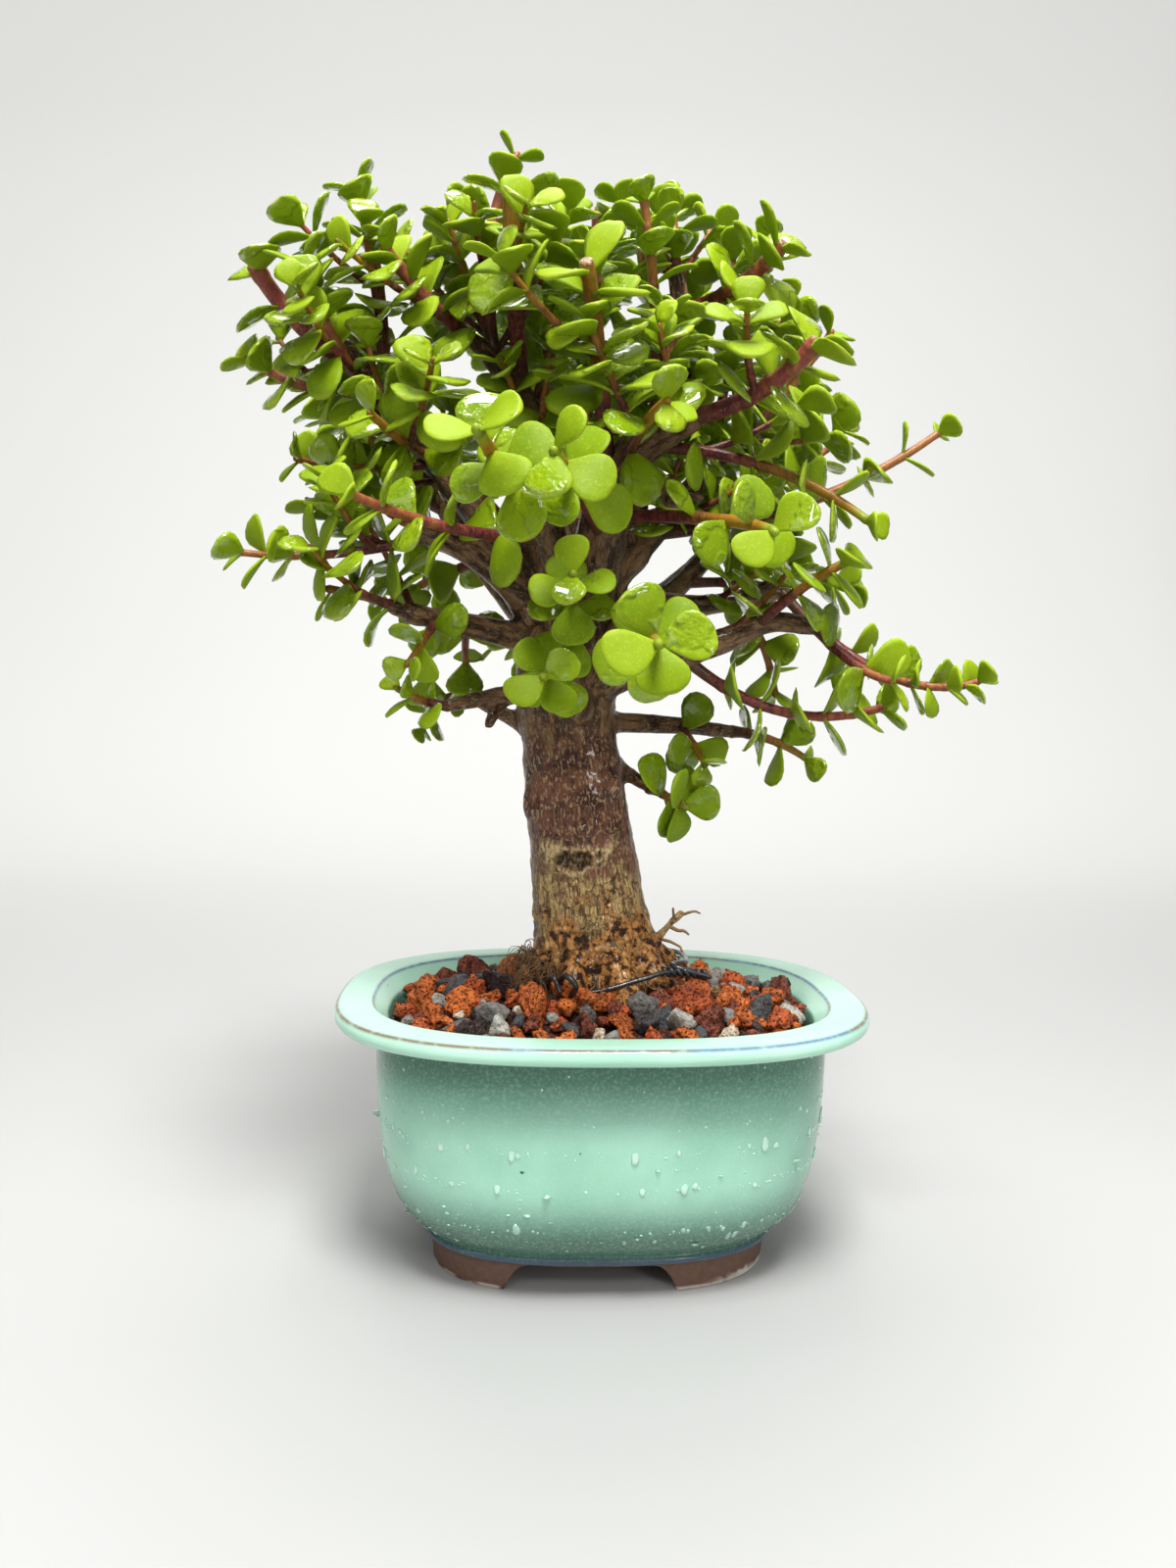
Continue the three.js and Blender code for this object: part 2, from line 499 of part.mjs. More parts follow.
// Straight rods along a curve, which leaves keep clear of.
function rodsAlong(curve, steps, radiusAt, owner) {
  const rods = [];
  for (let k = 0; k < steps; k++) {
    rods.push({
      a: curve.getPoint(k / steps),
      b: curve.getPoint((k + 1) / steps),
      radius: radiusAt((k + 0.5) / steps),
      owner,
    });
  }
  return rods;
}

// A leaf's place: base, the direction it points, the side it spreads to, and the normal of its upper face.
function leafAt(base, direction, normal, length) {
  const side = new THREE.Vector3().crossVectors(normal, direction).normalize();
  const face = new THREE.Vector3().crossVectors(direction, side);
  const centre = base.clone().addScaledVector(direction, 0.58 * length);
  const half = 0.46 * length;
  const breadth = LEAF_BREADTH * length;
  const rim = [];
  for (let k = 0; k < 8; k++) {
    const angle = (Math.PI * k) / 4;
    rim.push(
      centre.clone().addScaledVector(direction, half * Math.cos(angle))
        .addScaledVector(side, breadth * Math.sin(angle)),
    );
  }
  return { base, direction, side, face, length, centre, half, breadth, rim };
}

// Whether a point of the leaf's plane lies within its ellipse, widened by `margin`.
function inEllipse(leaf, point, margin) {
  const offset = point.clone().sub(leaf.centre);
  const u = offset.dot(leaf.direction) / (leaf.half + margin);
  const v = offset.dot(leaf.side) / (leaf.breadth + margin);
  return u * u + v * v < 1;
}

const heightOver = (leaf, point) => point.clone().sub(leaf.centre).dot(leaf.face);

// Whether a straight line from a to b goes through the leaf.
function pierces(leaf, a, b, margin) {
  const from = heightOver(leaf, a);
  const to = heightOver(leaf, b);
  if (from * to >= 0) return false;
  return inEllipse(leaf, a.clone().lerp(b, from / (from - to)), margin);
}

function leavesMeet(one, other) {
  const reach = one.half + other.half + 2;
  if (one.centre.distanceTo(other.centre) > reach) return false;
  const thick = LEAF_TOP + LEAF_UNDER + LEAF_CLEAR;
  const near = (flat, edge) =>
    edge.rim.some((point, k) =>
      (Math.abs(heightOver(flat, point)) < thick && inEllipse(flat, point, LEAF_CLEAR)) ||
      pierces(flat, point, edge.rim[(k + 1) % 8], LEAF_CLEAR));
  return near(one, other) || near(other, one) ||
    (Math.abs(heightOver(one, other.centre)) < thick && inEllipse(one, other.centre, LEAF_CLEAR));
}

function leafMeetsRod(leaf, { a, b, radius }) {
  const line = new THREE.Line3(a, b);
  const closest = new THREE.Vector3();
  line.closestPointToPoint(leaf.centre, true, closest);
  if (closest.distanceTo(leaf.centre) > leaf.half + radius + 3) return false;
  const margin = radius + LEAF_CLEAR;
  if (pierces(leaf, a, b, margin)) return true;
  const thick = margin + LEAF_UNDER;
  return [...leaf.rim, leaf.centre].some((point) => {
    line.closestPointToPoint(point, true, closest);
    return closest.distanceTo(point) < thick;
  }) || [a, b].some((end) => Math.abs(heightOver(leaf, end)) < thick && inEllipse(leaf, end, margin));
}

// Where along its stem a pair grows: closer together towards the tip, the last just below it.
function pairShare(pair, pairs, habit, node) {
  const { first, last } = HABITS[habit];
  const share = pair / (pairs - 1);
  return Math.min(first + (last - first) * share ** 0.9, 1 - 2.2 * node);
}

// Every leaf of every shoot, in opposite pairs that stand crosswise to the pair below. Each takes the
// first turn in LEAF_TURNS that clears the wood, the other stems and the other shoots' leaves.
function placeLeaves(stems) {
  const woodRods = Object.values(LIMBS).flatMap(({ path, r }) => rodsAlong(smooth(path), 8, taper(r), -1));
  woodRods.push(...rodsAlong(smooth(TRUNK_AXIS.path), 10, taper(TRUNK_AXIS.r), -1));
  const stemRods = stems.flatMap((stem, k) => rodsAlong(stem, 6, taper(SHOOTS[k][7]), k));
  const rods = [...woodRods, ...stemRods];
  const placed = [];
  SHOOTS.forEach(([, , , , pairs, size, turn, , habit], owner) => {
    const { shrink, lift, close } = HABITS[habit];
    const roll = dice(977 * owner + 13);
    const stem = stems[owner];
    const reference = leastAxis(stem.getPoint(1).sub(stem.getPoint(0)));
    const node = NODE_HEIGHT / 2 / stem.getLength();
    for (let pair = 0; pair < pairs; pair++) {
      const share = pair / (pairs - 1);
      const t = pairShare(pair, pairs, habit, node);
      const along = stem.getTangent(t);
      const [side, other] = squareTo(along, reference);
      for (const half of [0, 180]) {
        const jitter = [roll(), roll(), roll(), roll()].map((value) => 2 * value - 1);
        const length = size * (1 - shrink * share * share) * (1 + 0.08 * jitter[3]);
        for (const [yaw, pitch, scale] of LEAF_TURNS) {
          const bearing = radians(turn + 90 * pair + half + 12 * jitter[0] + yaw);
          const rise = radians(lift + close * share ** 1.5 + 9 * jitter[1] + pitch);
          const out = side.clone().multiplyScalar(Math.cos(bearing))
            .addScaledVector(other, Math.sin(bearing));
          const direction = out.clone().multiplyScalar(Math.cos(rise)).addScaledVector(along, Math.sin(rise));
          const normal = along.clone().multiplyScalar(Math.cos(rise)).addScaledVector(out, -Math.sin(rise));
          normal.addScaledVector(UP, LEAF_LIGHT).addScaledVector(direction, -LEAF_LIGHT * direction.z);
          normal.normalize().applyAxisAngle(direction, radians(LEAF_ROLL * jitter[2]));
          const leaf = leafAt(stem.getPoint(t), direction, normal, length * scale);
          const otherPair = (rest) => rest.owner !== owner || rest.pair !== pair;
          const blocked = rods.some((rod) => rod.owner !== owner && leafMeetsRod(leaf, rod)) ||
            placed.some((rest) => otherPair(rest) && leavesMeet(leaf, rest));
          if (!blocked) {
            placed.push({ ...leaf, owner, pair, facet: (pair + half / 90) % 4 });
            break;
          }
        }
      }
    }
  });
  return placed;
}

// Share of the stem at which its end stands on the limb that it grows from, measured to the middle of
// the facets of the limb's nearest stretch, or to its flat end.
function stemStart(stem, limb, share, stemRadius) {
  const { path, r } = woodNamed(limb);
  const sides = limb === "trunk" ? TRUNK_SIDES : LIMB_SIDES;
  const radiusAt = limb === "trunk" ? (at) => trunkRadius(at, 0, 0) : taper(r);
  const axis = smooth(path);
  const stretches = rodsAlong(axis, 30, radiusAt, limb);
  const end = axis.getPoint(1);
  const endways = axis.getTangent(1);
  const stemHalf = stemRadius * Math.SQRT1_2;
  const closest = new THREE.Vector3();
  for (let t = 0; t < 0.7; t += 0.002) {
    const point = stem.getPoint(t);
    const clearances = stretches.map(({ a, b, radius }) => {
      new THREE.Line3(a, b).closestPointToPoint(point, true, closest);
      const lean = Math.abs(stem.getTangent(t).dot(b.clone().sub(a).normalize()));
      return closest.distanceTo(point) - stemHalf * lean - radius * Math.cos(Math.PI / sides);
    });
    const slope = stem.getTangent(t).dot(endways);
    const height = point.clone().sub(end).dot(endways) - stemHalf * Math.sqrt(1 - slope * slope);
    if (Math.min(...clearances) > SEAT || (share === 1 && height > SEAT)) return t;
  }
  throw new Error(`a shoot on ${limb} never clears it`);
}

// The skin of one leaf, grown out of a square facet of its stem: a thick little lens on an obovate
// outline, cupped towards the tip of the stem. `foot` holds the facet's corners: low and high on the
// right, then high and low on the left.
function addLeaf(points, triangles, foot, { base, direction, side, face, length }) {
  const at = (u, v, w) => {
    const point = base.clone().addScaledVector(direction, u * length)
      .addScaledVector(side, v * LEAF_BREADTH * length)
      .addScaledVector(face, w);
    return points.push(point) - 1;
  };
  const [rightLow, rightHigh, leftHigh, leftLow] = foot;
  const right = LEAF_EDGE.map(([u, v]) => at(u, -v, LEAF_CUP * v * v));
  const left = LEAF_EDGE.map(([u, v]) => at(u, v, LEAF_CUP * v * v)).reverse();
  const edge = [...right, ...left];
  const over = at(0.6, 0, LEAF_TOP);
  const under = at(0.6, 0, -LEAF_UNDER);
  const upper = [rightHigh, ...edge, leftHigh];
  const lower = [rightLow, ...edge, leftLow];
  upper.forEach((corner, k) => triangles.push([over, corner, upper[(k + 1) % upper.length]]));
  lower.forEach((corner, k) => triangles.push([under, lower[(k + 1) % lower.length], corner]));
  triangles.push([rightLow, right[0], rightHigh], [leftHigh, edge[edge.length - 1], leftLow]);
}

// A square stem with its leaves in one skin. Rings of four corners run from the root to the tip, two of
// them round each pair, and a leaf takes the place of the facet that it grows from.
function makeShoot(row, stem, leaves, cutter) {
  const [limb, share, , , pairs, , turn, radii, habit] = row;
  const start = stemStart(stem, limb, share, radii[0]);
  const node = NODE_HEIGHT / 2 / stem.getLength();
  const heights = [start];
  for (let pair = 0; pair < pairs; pair++) {
    const t = pairShare(pair, pairs, habit, node);
    if (pair === 0) heights.push((start + t - node) / 2);
    heights.push(t - node, t + node);
  }
  heights.push(1);
  const reference = leastAxis(stem.getPoint(1).sub(stem.getPoint(0)));
  const radiusAt = taper(radii);
  const points = heights.flatMap((t) => {
    const [side, other] = squareTo(stem.getTangent(t), reference);
    return [45, 135, 225, 315].map((corner) => {
      const angle = radians(turn + corner);
      return stem.getPoint(t).addScaledVector(side, radiusAt(t) * Math.cos(angle))
        .addScaledVector(other, radiusAt(t) * Math.sin(angle));
    });
  });
  const triangles = [[0, 3, 2], [0, 2, 1]];
  for (let k = 0; k + 1 < heights.length; k++) {
    for (let corner = 0; corner < 4; corner++) {
      const next = (corner + 1) % 4;
      const [lowA, lowB, highB, highA] = [4 * k + corner, 4 * k + next, 4 * k + 4 + next, 4 * k + 4 + corner];
      const leaf = leaves.find(({ pair, facet }) => k === 2 * pair + 2 && facet === next);
      if (leaf) addLeaf(points, triangles, [lowA, highA, highB, lowB], leaf);
      else triangles.push([lowA, lowB, highB], [lowA, highB, highA]);
    }
  }
  const top = 4 * (heights.length - 1);
  triangles.push([top, top + 1, top + 2], [top, top + 2, top + 3]);
  return mainBody(solidFrom(points, triangles).subtract(cutter));
}

// ---------------------------------------------------------------- materials

const paint = (color, roughness) => new THREE.MeshStandardMaterial({ color, roughness, metalness: 0 });
const glaze = paint(0x86bfa6, 0.25);
const plastic = paint(0x1c1c1d, 0.5);
const lava = paint(0x8c4a34, 0.9);
const bark = paint(0x5b4036, 0.6);
const leafGreen = paint(0x7fb53a, 0.35);

// ---------------------------------------------------------------- assembly

const wood = makeWood(0);
const woodSeat = makeWood(SEAT);
const tie = makeTie(0).subtract(woodSeat);
const tieSeat = makeTie(SEAT);

const potGroup = new THREE.Group();
potGroup.add(meshOf("pot", makePot(), glaze));
potGroup.add(meshOf("drain_net_left", makeNet(-DRAIN.x), plastic));
potGroup.add(meshOf("drain_net_right", makeNet(DRAIN.x), plastic));
potGroup.add(meshOf("grit", makeGrit([woodSeat, tieSeat, netSeat(-DRAIN.x), netSeat(DRAIN.x)]), lava));

const treeGroup = new THREE.Group();
treeGroup.add(meshOf("trunk", wood, bark));
treeGroup.add(meshOf("tie_wire", mainBody(tie), plastic));
const stems = SHOOTS.map(stemOf);
const leaves = placeLeaves(stems);
SHOOTS.forEach((row, k) => {
  const own = leaves.filter((leaf) => leaf.owner === k);
  const name = `shoot_${String(k + 1).padStart(2, "0")}`;
  treeGroup.add(meshOf(name, makeShoot(row, stems[k], own, woodSeat), leafGreen));
});

const bonsai = new THREE.Group();
bonsai.add(potGroup, treeGroup);

export default bonsai;
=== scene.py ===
"""Dwarf jade bonsai in a celadon pot: the finished surface of every piece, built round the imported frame.

Shapes are worked out in millimetres, in the frame of the part, and go into Blender in metres.
"""

import itertools
import math

import bpy
import numpy as np
from mathutils import Matrix


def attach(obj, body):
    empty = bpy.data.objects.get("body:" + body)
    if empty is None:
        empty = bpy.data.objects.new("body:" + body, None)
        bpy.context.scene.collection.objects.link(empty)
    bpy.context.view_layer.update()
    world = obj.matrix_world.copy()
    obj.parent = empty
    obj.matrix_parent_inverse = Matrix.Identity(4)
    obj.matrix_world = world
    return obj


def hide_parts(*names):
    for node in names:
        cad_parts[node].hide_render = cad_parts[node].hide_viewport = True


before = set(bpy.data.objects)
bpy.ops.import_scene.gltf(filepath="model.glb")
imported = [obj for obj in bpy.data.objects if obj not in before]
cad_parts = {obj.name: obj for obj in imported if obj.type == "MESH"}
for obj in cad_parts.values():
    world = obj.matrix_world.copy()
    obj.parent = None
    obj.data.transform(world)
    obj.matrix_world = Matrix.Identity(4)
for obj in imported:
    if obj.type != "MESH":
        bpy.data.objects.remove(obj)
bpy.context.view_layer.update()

MM = 0.001
UP = np.array([0.0, 0.0, 1.0])

CAMERA_AT = np.array([-24.82, -359.14, 169.0])
CAMERA_RIGHT = np.array([0.99838, -0.05416, 0.01716])
CAMERA_DOWN = np.array([0.01330, -0.07078, -0.99740])
CAMERA_AHEAD = np.array([0.05524, 0.99602, -0.06994])
FOCAL = 1200  # the lens's focal length in pixels of a picture 1200 wide and 1600 high

# ---------------------------------------------------------------- sizes of the pot

RIM_HALF_LENGTH = 80
RIM_HALF_WIDTH = 64
PLAN_POWER = 2.7
POT_COLUMNS = 240
DRAIN = {"x": 25, "radius": 6}
FLOOR_TOP = 14
FOOT_TOP = 10.5

# Height and inset from the rim's edge, from the bead over the feet up to the lip and down inside.
POT_PROFILE = [
    (9.0, 32.0), (9.1, 28.2), (9.5, 26.8), (10.3, 26.2), (11.2, 26.4), (11.9, 27.0), (12.7, 26.4),
    (14, 24.4), (16.3, 22), (19, 20), (22.5, 17.9), (27, 16.2), (33, 14.6), (40, 13.5), (48, 12.7),
    (56, 12.3), (64, 12.1), (70, 12.1), (73, 11.9), (74.2, 11), (74.5, 9), (74.5, 6), (74.45, 3.4),
    (74.7, 1.8), (75.4, 0.7), (76.6, 0.12), (78, 0.05), (79, 0.45), (79.65, 1.3), (79.95, 2.6), (80, 4.5),
    (80, 7), (79.95, 9.4), (79.75, 10.6), (79.2, 11.4), (78, 12.5), (76, 14.4), (74, 16.1), (70, 17),
    (60, 17.8), (48, 18.3), (38, 19), (30, 20.6), (24, 22.8), (19, 26), (16.3, 29), (14.6, 33), (14, 38),
]
PIT = (-0.0239, -0.0505, 0.0417)  # a pit in the glaze on the front, in metres
# Where the glaze draws thin: height, inset, and how far it does.
THIN_GLAZE = [(79.3, 0.9, 0.62), (79.4, 11.2, 0.5), (10.3, 26.2, 1.15)]
GLAZE_WAVE = 0.22  # how far the wall swells where the glaze ran thick
FOOT_PROFILE = [
    (FOOT_TOP, 28.6), (8, 28.6), (5, 28.7), (2, 28.9), (0.8, 29.1), (0.25, 29.5), (0, 30.2), (0, 35.6),
    (0.5, 36.4), (3, 36.6), (FOOT_TOP, 36.6),
]
FRONT_GAP = {"middle": -3.5, "foot": 25, "crown": 17.5, "height": 8}
END_GAP = {"middle": 0, "foot": 12, "crown": 7.5, "height": 8}
BORE = {"corners": 40, "bottom": 4.0, "top": 20.0}
NET = {"side": 20, "thickness": 0.8, "pitch": 2.2, "bar": 0.8, "above_floor": 0.3}
DROPS = [  # how many, smallest and largest radius, lowest and highest on the wall, and how far they sag
    {"count": 2000, "radius": (0.2, 0.42), "height": (16, 50), "sag": 0.1},
    {"count": 600, "radius": (0.22, 0.5), "height": (36, 72), "sag": 0.15},
    {"count": 760, "radius": (0.42, 0.8), "height": (16, 60), "sag": 0.5},
    {"count": 150, "radius": (0.8, 1.4), "height": (18, 48), "sag": 1.0},
]
DROP_DOME = 0.55  # height of a drop over its radius

# ---------------------------------------------------------------- sizes of the tree

TRUNK = [
    (-1, 3, 60, 18.5), (-1, 3, 78, 20.2), (-2, 4, 90, 18.6), (-4, 4, 106, 16.7), (-7, 4, 127, 15.3),
    (-9, 4, 144, 14.3), (-11, 5, 160, 14), (-12, 5, 176, 15), (-11, 5, 190, 14), (-9, 4, 202, 10.5),
    (-8, 3, 211, 7),
]
TRUNK_PATH = [row[:3] for row in TRUNK]
FOOT_X, FOOT_Y, _, FOOT_RADIUS = TRUNK[1]
# Surface roots: bearing in degrees, reach from the trunk's middle, radius at the trunk.
ROOTS = [
    (205, 29, 5), (248, 27, 4.5), (287, 28, 5.5), (322, 30, 4.5), (15, 30, 5.5), (80, 29, 5), (140, 30, 5),
]
DRY_ROOT = [(12, -2, 90), (17, -5, 97), (20, -6, 101), (24, -6, 105)]
DRY_ROOT_SPUR = [(20, -6, 101), (24, -8, 100), (26, -8, 99)]

# Limbs: their points and their radius at the trunk and at the end.
LIMBS = {
    "leader": ([(-8, 4, 196), (-3, -4, 215), (-1, -12, 227), (5, -22, 239), (18, -36, 246)], (9, 4.6)),
    "right_back": ([(-6, 6, 196), (4, 10, 211), (18, 18, 226), (38, 30, 250)], (7, 2.8)),
    "crown": ([(8, 12, 214), (10, 12, 246), (16, 14, 272), (22, 16, 291), (21, 16, 302)], (4.6, 2.8)),
    "left_top": (
        [(-12, 2, 188), (-19, -4, 217), (-19, -5, 237), (-24, -8, 254), (-39, -10, 271)], (7, 2.6),
    ),
    "left_up": ([(-14, 2, 182), (-31, -5, 214), (-46, -8, 232), (-60, -8, 247), (-78, -5, 271)], (7, 2.6)),
    "left_stub": ([(-22, -2, 198), (-38, -12, 210), (-50, -22, 215)], (5, 3.4)),
    "left_mid": ([(-12, 4, 184), (-32, -6, 189), (-44, -14, 191), (-57, -20, 193)], (4.6, 2.6)),
    "left_low_front": ([(-14, 2, 170), (-28, -5, 171), (-47, -16, 167)], (3.6, 2)),
    "left_low_back": ([(-14, 4, 156), (-30, 10, 164), (-45, 22, 171)], (3, 1.8)),
    "right_front": (
        [(-8, 2, 172), (6, -8, 178), (19, -16, 183), (32, -18, 187), (46, -18, 193), (60, -16, 192)],
        (5.6, 2.6),
    ),
    "right_mid": ([(-8, 4, 190), (10, 10, 199), (32, 14, 200), (56, 14, 205)], (5, 2.6)),
    "right_low": ([(-6, 6, 163), (21, 16, 162), (43, 22, 160)], (3.6, 2.2)),
    "right_small": ([(-2, 2, 152), (9, 6, 146), (15, 8, 142)], (2.8, 1.7)),
    "back_up": ([(-8, 6, 198), (-8, 14, 222), (-8, 38, 258), (-4, 54, 282)], (7, 2.8)),
    "back_left": ([(-12, 8, 180), (-30, 26, 203), (-48, 42, 226), (-60, 50, 248)], (6, 2.6)),
    "back_right": ([(-6, 8, 180), (14, 30, 198), (34, 46, 216), (50, 54, 236)], (6, 2.6)),
    "back_low": ([(-10, 10, 166), (-8, 36, 176), (0, 54, 180), (6, 68, 188)], (4.6, 2.2)),
    "front_left": ([(-12, -4, 188), (-16, -22, 206), (-24, -38, 220)], (5, 2.6)),
}
TRUNK_ROD = 14  # radius that leaves keep clear of round the trunk's axis

# Leafy shoots: limb and share along it where the shoot starts, tip, bow of its middle, pairs of leaves,
# leaf length, turn of the first pair in degrees, stem radius at root and tip, habit, how red the stem is.
SHOOTS = [
    ("left_up", 0.92, (-101, -20, 288), (-3, -3, -6), 3, 14.5, 20, (2.5, 2.3), "cut", 0.9),
    ("left_up", 0.78, (-86, -35, 284), (-3, -8, -9), 6, 14.5, 70, (1.9, 1.5), "bud", 0.7),
    ("left_up", 0.85, (-74, -15, 312), (5, 0, 6), 7, 14, 10, (2, 1.2), "bud", 0.5),
    ("left_top", 1, (-64, -30, 290), (0, -4, -5), 6, 14.5, 35, (2.1, 1.6), "bud", 0.8),
    ("left_top", 0.86, (-50, 12, 317), (-4, 4, 0), 6, 14, 60, (1.6, 1.1), "bud", 0.6),
    ("left_top", 0.93, (-29, 0, 329), (-10, 6, 8), 5, 13.5, 5, (2.2, 1.5), "bud", 1),
    ("left_top", 0.8, (-30, -42, 303), (-2, -10, 4), 3, 14, 15, (2.4, 2.2), "cut", 0.3),
    ("left_top", 0.7, (-17, 20, 321), (6, 8, 0), 6, 14, 40, (1.6, 1.1), "bud", 0.5),
    ("back_up", 1, (-1, 40, 331), (-3, 0, 0), 4, 14, 30, (2.2, 2.8), "cut", 1),
    ("crown", 0.45, (8, -6, 316), (2, -8, -4), 6, 14, 0, (1.8, 1.3), "bud", 0.6),
    ("leader", 0.5, (-11, -62, 277), (0, -8, 10), 5, 15.5, 50, (2.4, 1.9), "cut", 0.5),
    ("crown", 1, (20, 20, 322), (0, 0, 0), 3, 14, 75, (1.6, 1.2), "bud", 0.4),
    ("crown", 0.75, (48, -15, 301), (2, -2, -6), 5, 14.5, 25, (2.2, 2), "cut", 0.8),
    ("right_back", 0.95, (50, 30, 320), (-2, 4, 0), 7, 14, 15, (1.8, 1.1), "bud", 0.6),
    ("leader", 1, (49, -55, 262), (4, 0, -6), 4, 15, 80, (2.5, 2.3), "cut", 0.9),
    ("right_back", 1, (64, 46, 306), (6, 6, -6), 6, 14, 55, (1.7, 1.1), "bud", 0.7),
    ("right_back", 0.85, (70, 14, 286), (4, -8, -2), 6, 14, 30, (1.8, 1.1), "bud", 0.5),
    ("right_back", 0.6, (101, 0, 253), (4, -12, -14), 6, 13, 85, (2.2, 1.1), "bud", 0.6),
    ("leader", 0.8, (67, -45, 218), (6, 2, 10), 5, 14.5, 20, (1.8, 1.2), "bud", 0.2),
    ("leader", 0.42, (33, -85, 209), (12, -6, 2), 4, 12, 45, (1.9, 1.4), "rosette", 0.1),
    ("right_front", 0.75, (62, -42, 208), (-2, -8, 2), 4, 12.5, 10, (1.7, 1.2), "rosette", 0.1),
    ("right_mid", 1, (107, -25, 177), (0, -14, -24), 9, 11, 65, (1.8, 1), "bud", 0.8),
    ("right_front", 1, (77, -38, 176), (0, -2, -6), 3, 14, 35, (1.6, 1.1), "bud", 0.8),
    ("right_front", 0.42, (80, -22, 169), (0, 6, -18), 6, 14.5, 5, (1.8, 1.2), "bud", 0.9),
    ("right_mid", 0.82, (58, 26, 172), (4, 6, 4), 4, 14, 50, (1.5, 1.1), "bud", 0.5),
    ("right_low", 1, (70, 30, 151), (0, 0, 4), 3, 14, 20, (1.8, 1.1), "bud", 0.2),
    ("right_low", 0.6, (31, -2, 150), (-2, 0, 4), 3, 12.5, 75, (1.4, 1), "bud", 0.2),
    ("right_small", 1, (25, -4, 137), (-2, 0, 2), 4, 13.5, 40, (1.6, 1.1), "rosette", 0.1),
    ("left_up", 0.88, (-104, -15, 264), (0, -3, -9), 5, 13.5, 30, (1.8, 1.1), "bud", 0.7),
    ("left_stub", 1, (-103, -30, 208), (-2, -2, -6), 6, 13.5, 15, (1.5, 0.9), "bud", 0.6),
    ("left_mid", 1, (-80, -26, 199), (0, 0, 2), 3, 13.5, 60, (1.5, 1.1), "bud", 0.5),
    ("front_left", 0.75, (-68, -63, 219), (-6, 0, -4), 5, 14.5, 45, (1.8, 1.2), "bud", 0.8),
    ("left_up", 0.62, (-66, -44, 243), (2, -4, -4), 4, 14, 80, (1.6, 1.1), "bud", 0.4),
    ("left_mid", 0.82, (-57, -34, 178), (2, -4, 2), 3, 11, 25, (1.3, 0.9), "bud", 0.3),
    ("left_mid", 0.6, (-42, 8, 172), (-2, 8, 4), 3, 12, 0, (1.3, 0.9), "bud", 0.3),
    ("left_low_front", 1, (-61, -24, 172), (0, 0, -2), 3, 10, 50, (1.4, 0.9), "bud", 0.2),
    ("left_low_back", 1, (-58, 30, 158), (-4, 2, 4), 3, 10, 15, (1.3, 0.9), "bud", 0.2),
    ("right_front", 0.2, (5, -97, 182), (2, 0, 8), 4, 14, 112, (2, 1.4), "rosette", 0.1),
    ("trunk", 0.82, (-13, -62, 201), (0, -6, -4), 4, 11.5, 5, (1.8, 1.3), "rosette", 0.1),
    ("trunk", 0.7, (-20, -58, 175), (0, -4, 2), 4, 11.5, 30, (1.7, 1.2), "rosette", 0.1),
    ("front_left", 1, (-36, -97, 228), (2, -4, -4), 4, 13.5, 20, (2, 1.5), "rosette", 0.1),
    ("leader", 0.3, (-19, -96, 224), (-2, -6, 4), 4, 12.5, 65, (1.8, 1.3), "rosette", 0.1),
    ("leader", 0.68, (8, -78, 240), (-2, -6, 2), 3, 13.5, 10, (1.7, 1.2), "bud", 0.3),
    ("back_up", 0.85, (-28, 70, 304), (-4, 2, 2), 5, 14.5, 50, (1.9, 1.2), "bud", 0.6),
    ("back_up", 0.62, (14, 88, 272), (2, 4, 6), 5, 14.5, 20, (1.9, 1.2), "bud", 0.7),
    ("back_left", 1, (-84, 50, 282), (-4, 0, 0), 5, 14.5, 70, (1.8, 1.2), "bud", 0.6),
    ("back_left", 0.75, (-98, 24, 244), (0, 6, 4), 6, 14, 35, (1.8, 1.1), "bud", 0.7),
    ("back_left", 0.9, (-56, 86, 256), (2, 4, 4), 4, 13.5, 5, (1.9, 1.3), "rosette", 0.3),
    ("back_left", 0.5, (-74, 62, 202), (2, 4, 4), 5, 14, 60, (1.8, 1.1), "bud", 0.5),
    ("back_right", 1, (82, 58, 260), (0, 4, 0), 5, 14.5, 15, (1.8, 1.1), "bud", 0.7),
    ("back_right", 0.85, (52, 92, 232), (4, 6, 4), 4, 13.5, 55, (1.9, 1.3), "rosette", 0.3),
    ("back_right", 0.55, (88, 44, 210), (6, 0, 2), 6, 14, 30, (1.8, 1.1), "bud", 0.6),
    ("back_low", 1, (22, 102, 194), (0, 2, 4), 4, 14.5, 75, (1.7, 1.1), "bud", 0.5),
    ("back_low", 0.7, (-36, 82, 190), (2, 6, 4), 5, 14, 10, (1.6, 1.1), "bud", 0.5),
]
HABITS = {
    "bud": {"first": 0.22, "last": 0.99, "shrink": 0.34, "lift": 16, "close": 26},
    "cut": {"first": 0.42, "last": 0.93, "shrink": 0.1, "lift": 18, "close": 6},
    "rosette": {"first": 0.45, "last": 0.98, "shrink": 0.12, "lift": 8, "close": 16},
    "twig": {"first": 0.25, "last": 1, "shrink": 0.34, "lift": 14, "close": 28},
}
NODE_HEIGHT = 1.5
LEAF_BREADTH = 0.47
LEAF_TOP = 0.5
LEAF_UNDER = 1.05
LEAF_LIGHT = 0.6
LEAF_ROLL = 18
LEAF_CLEAR = 0.45
# Turns that a leaf tries until it is clear: yaw and pitch in degrees, and a scale.
LEAF_TURNS = [
    (0, 0, 1), (22, 0, 1), (-22, 0, 1), (0, 20, 1), (0, -20, 1), (38, 10, 0.9), (-38, 10, 0.9),
    (0, 34, 0.8), (20, -24, 0.8), (-20, -24, 0.8), (0, 0, 0.7),
]
WET_LEAVES = 0.6  # share of the leaves that carry a film of water
TWIGS = 92
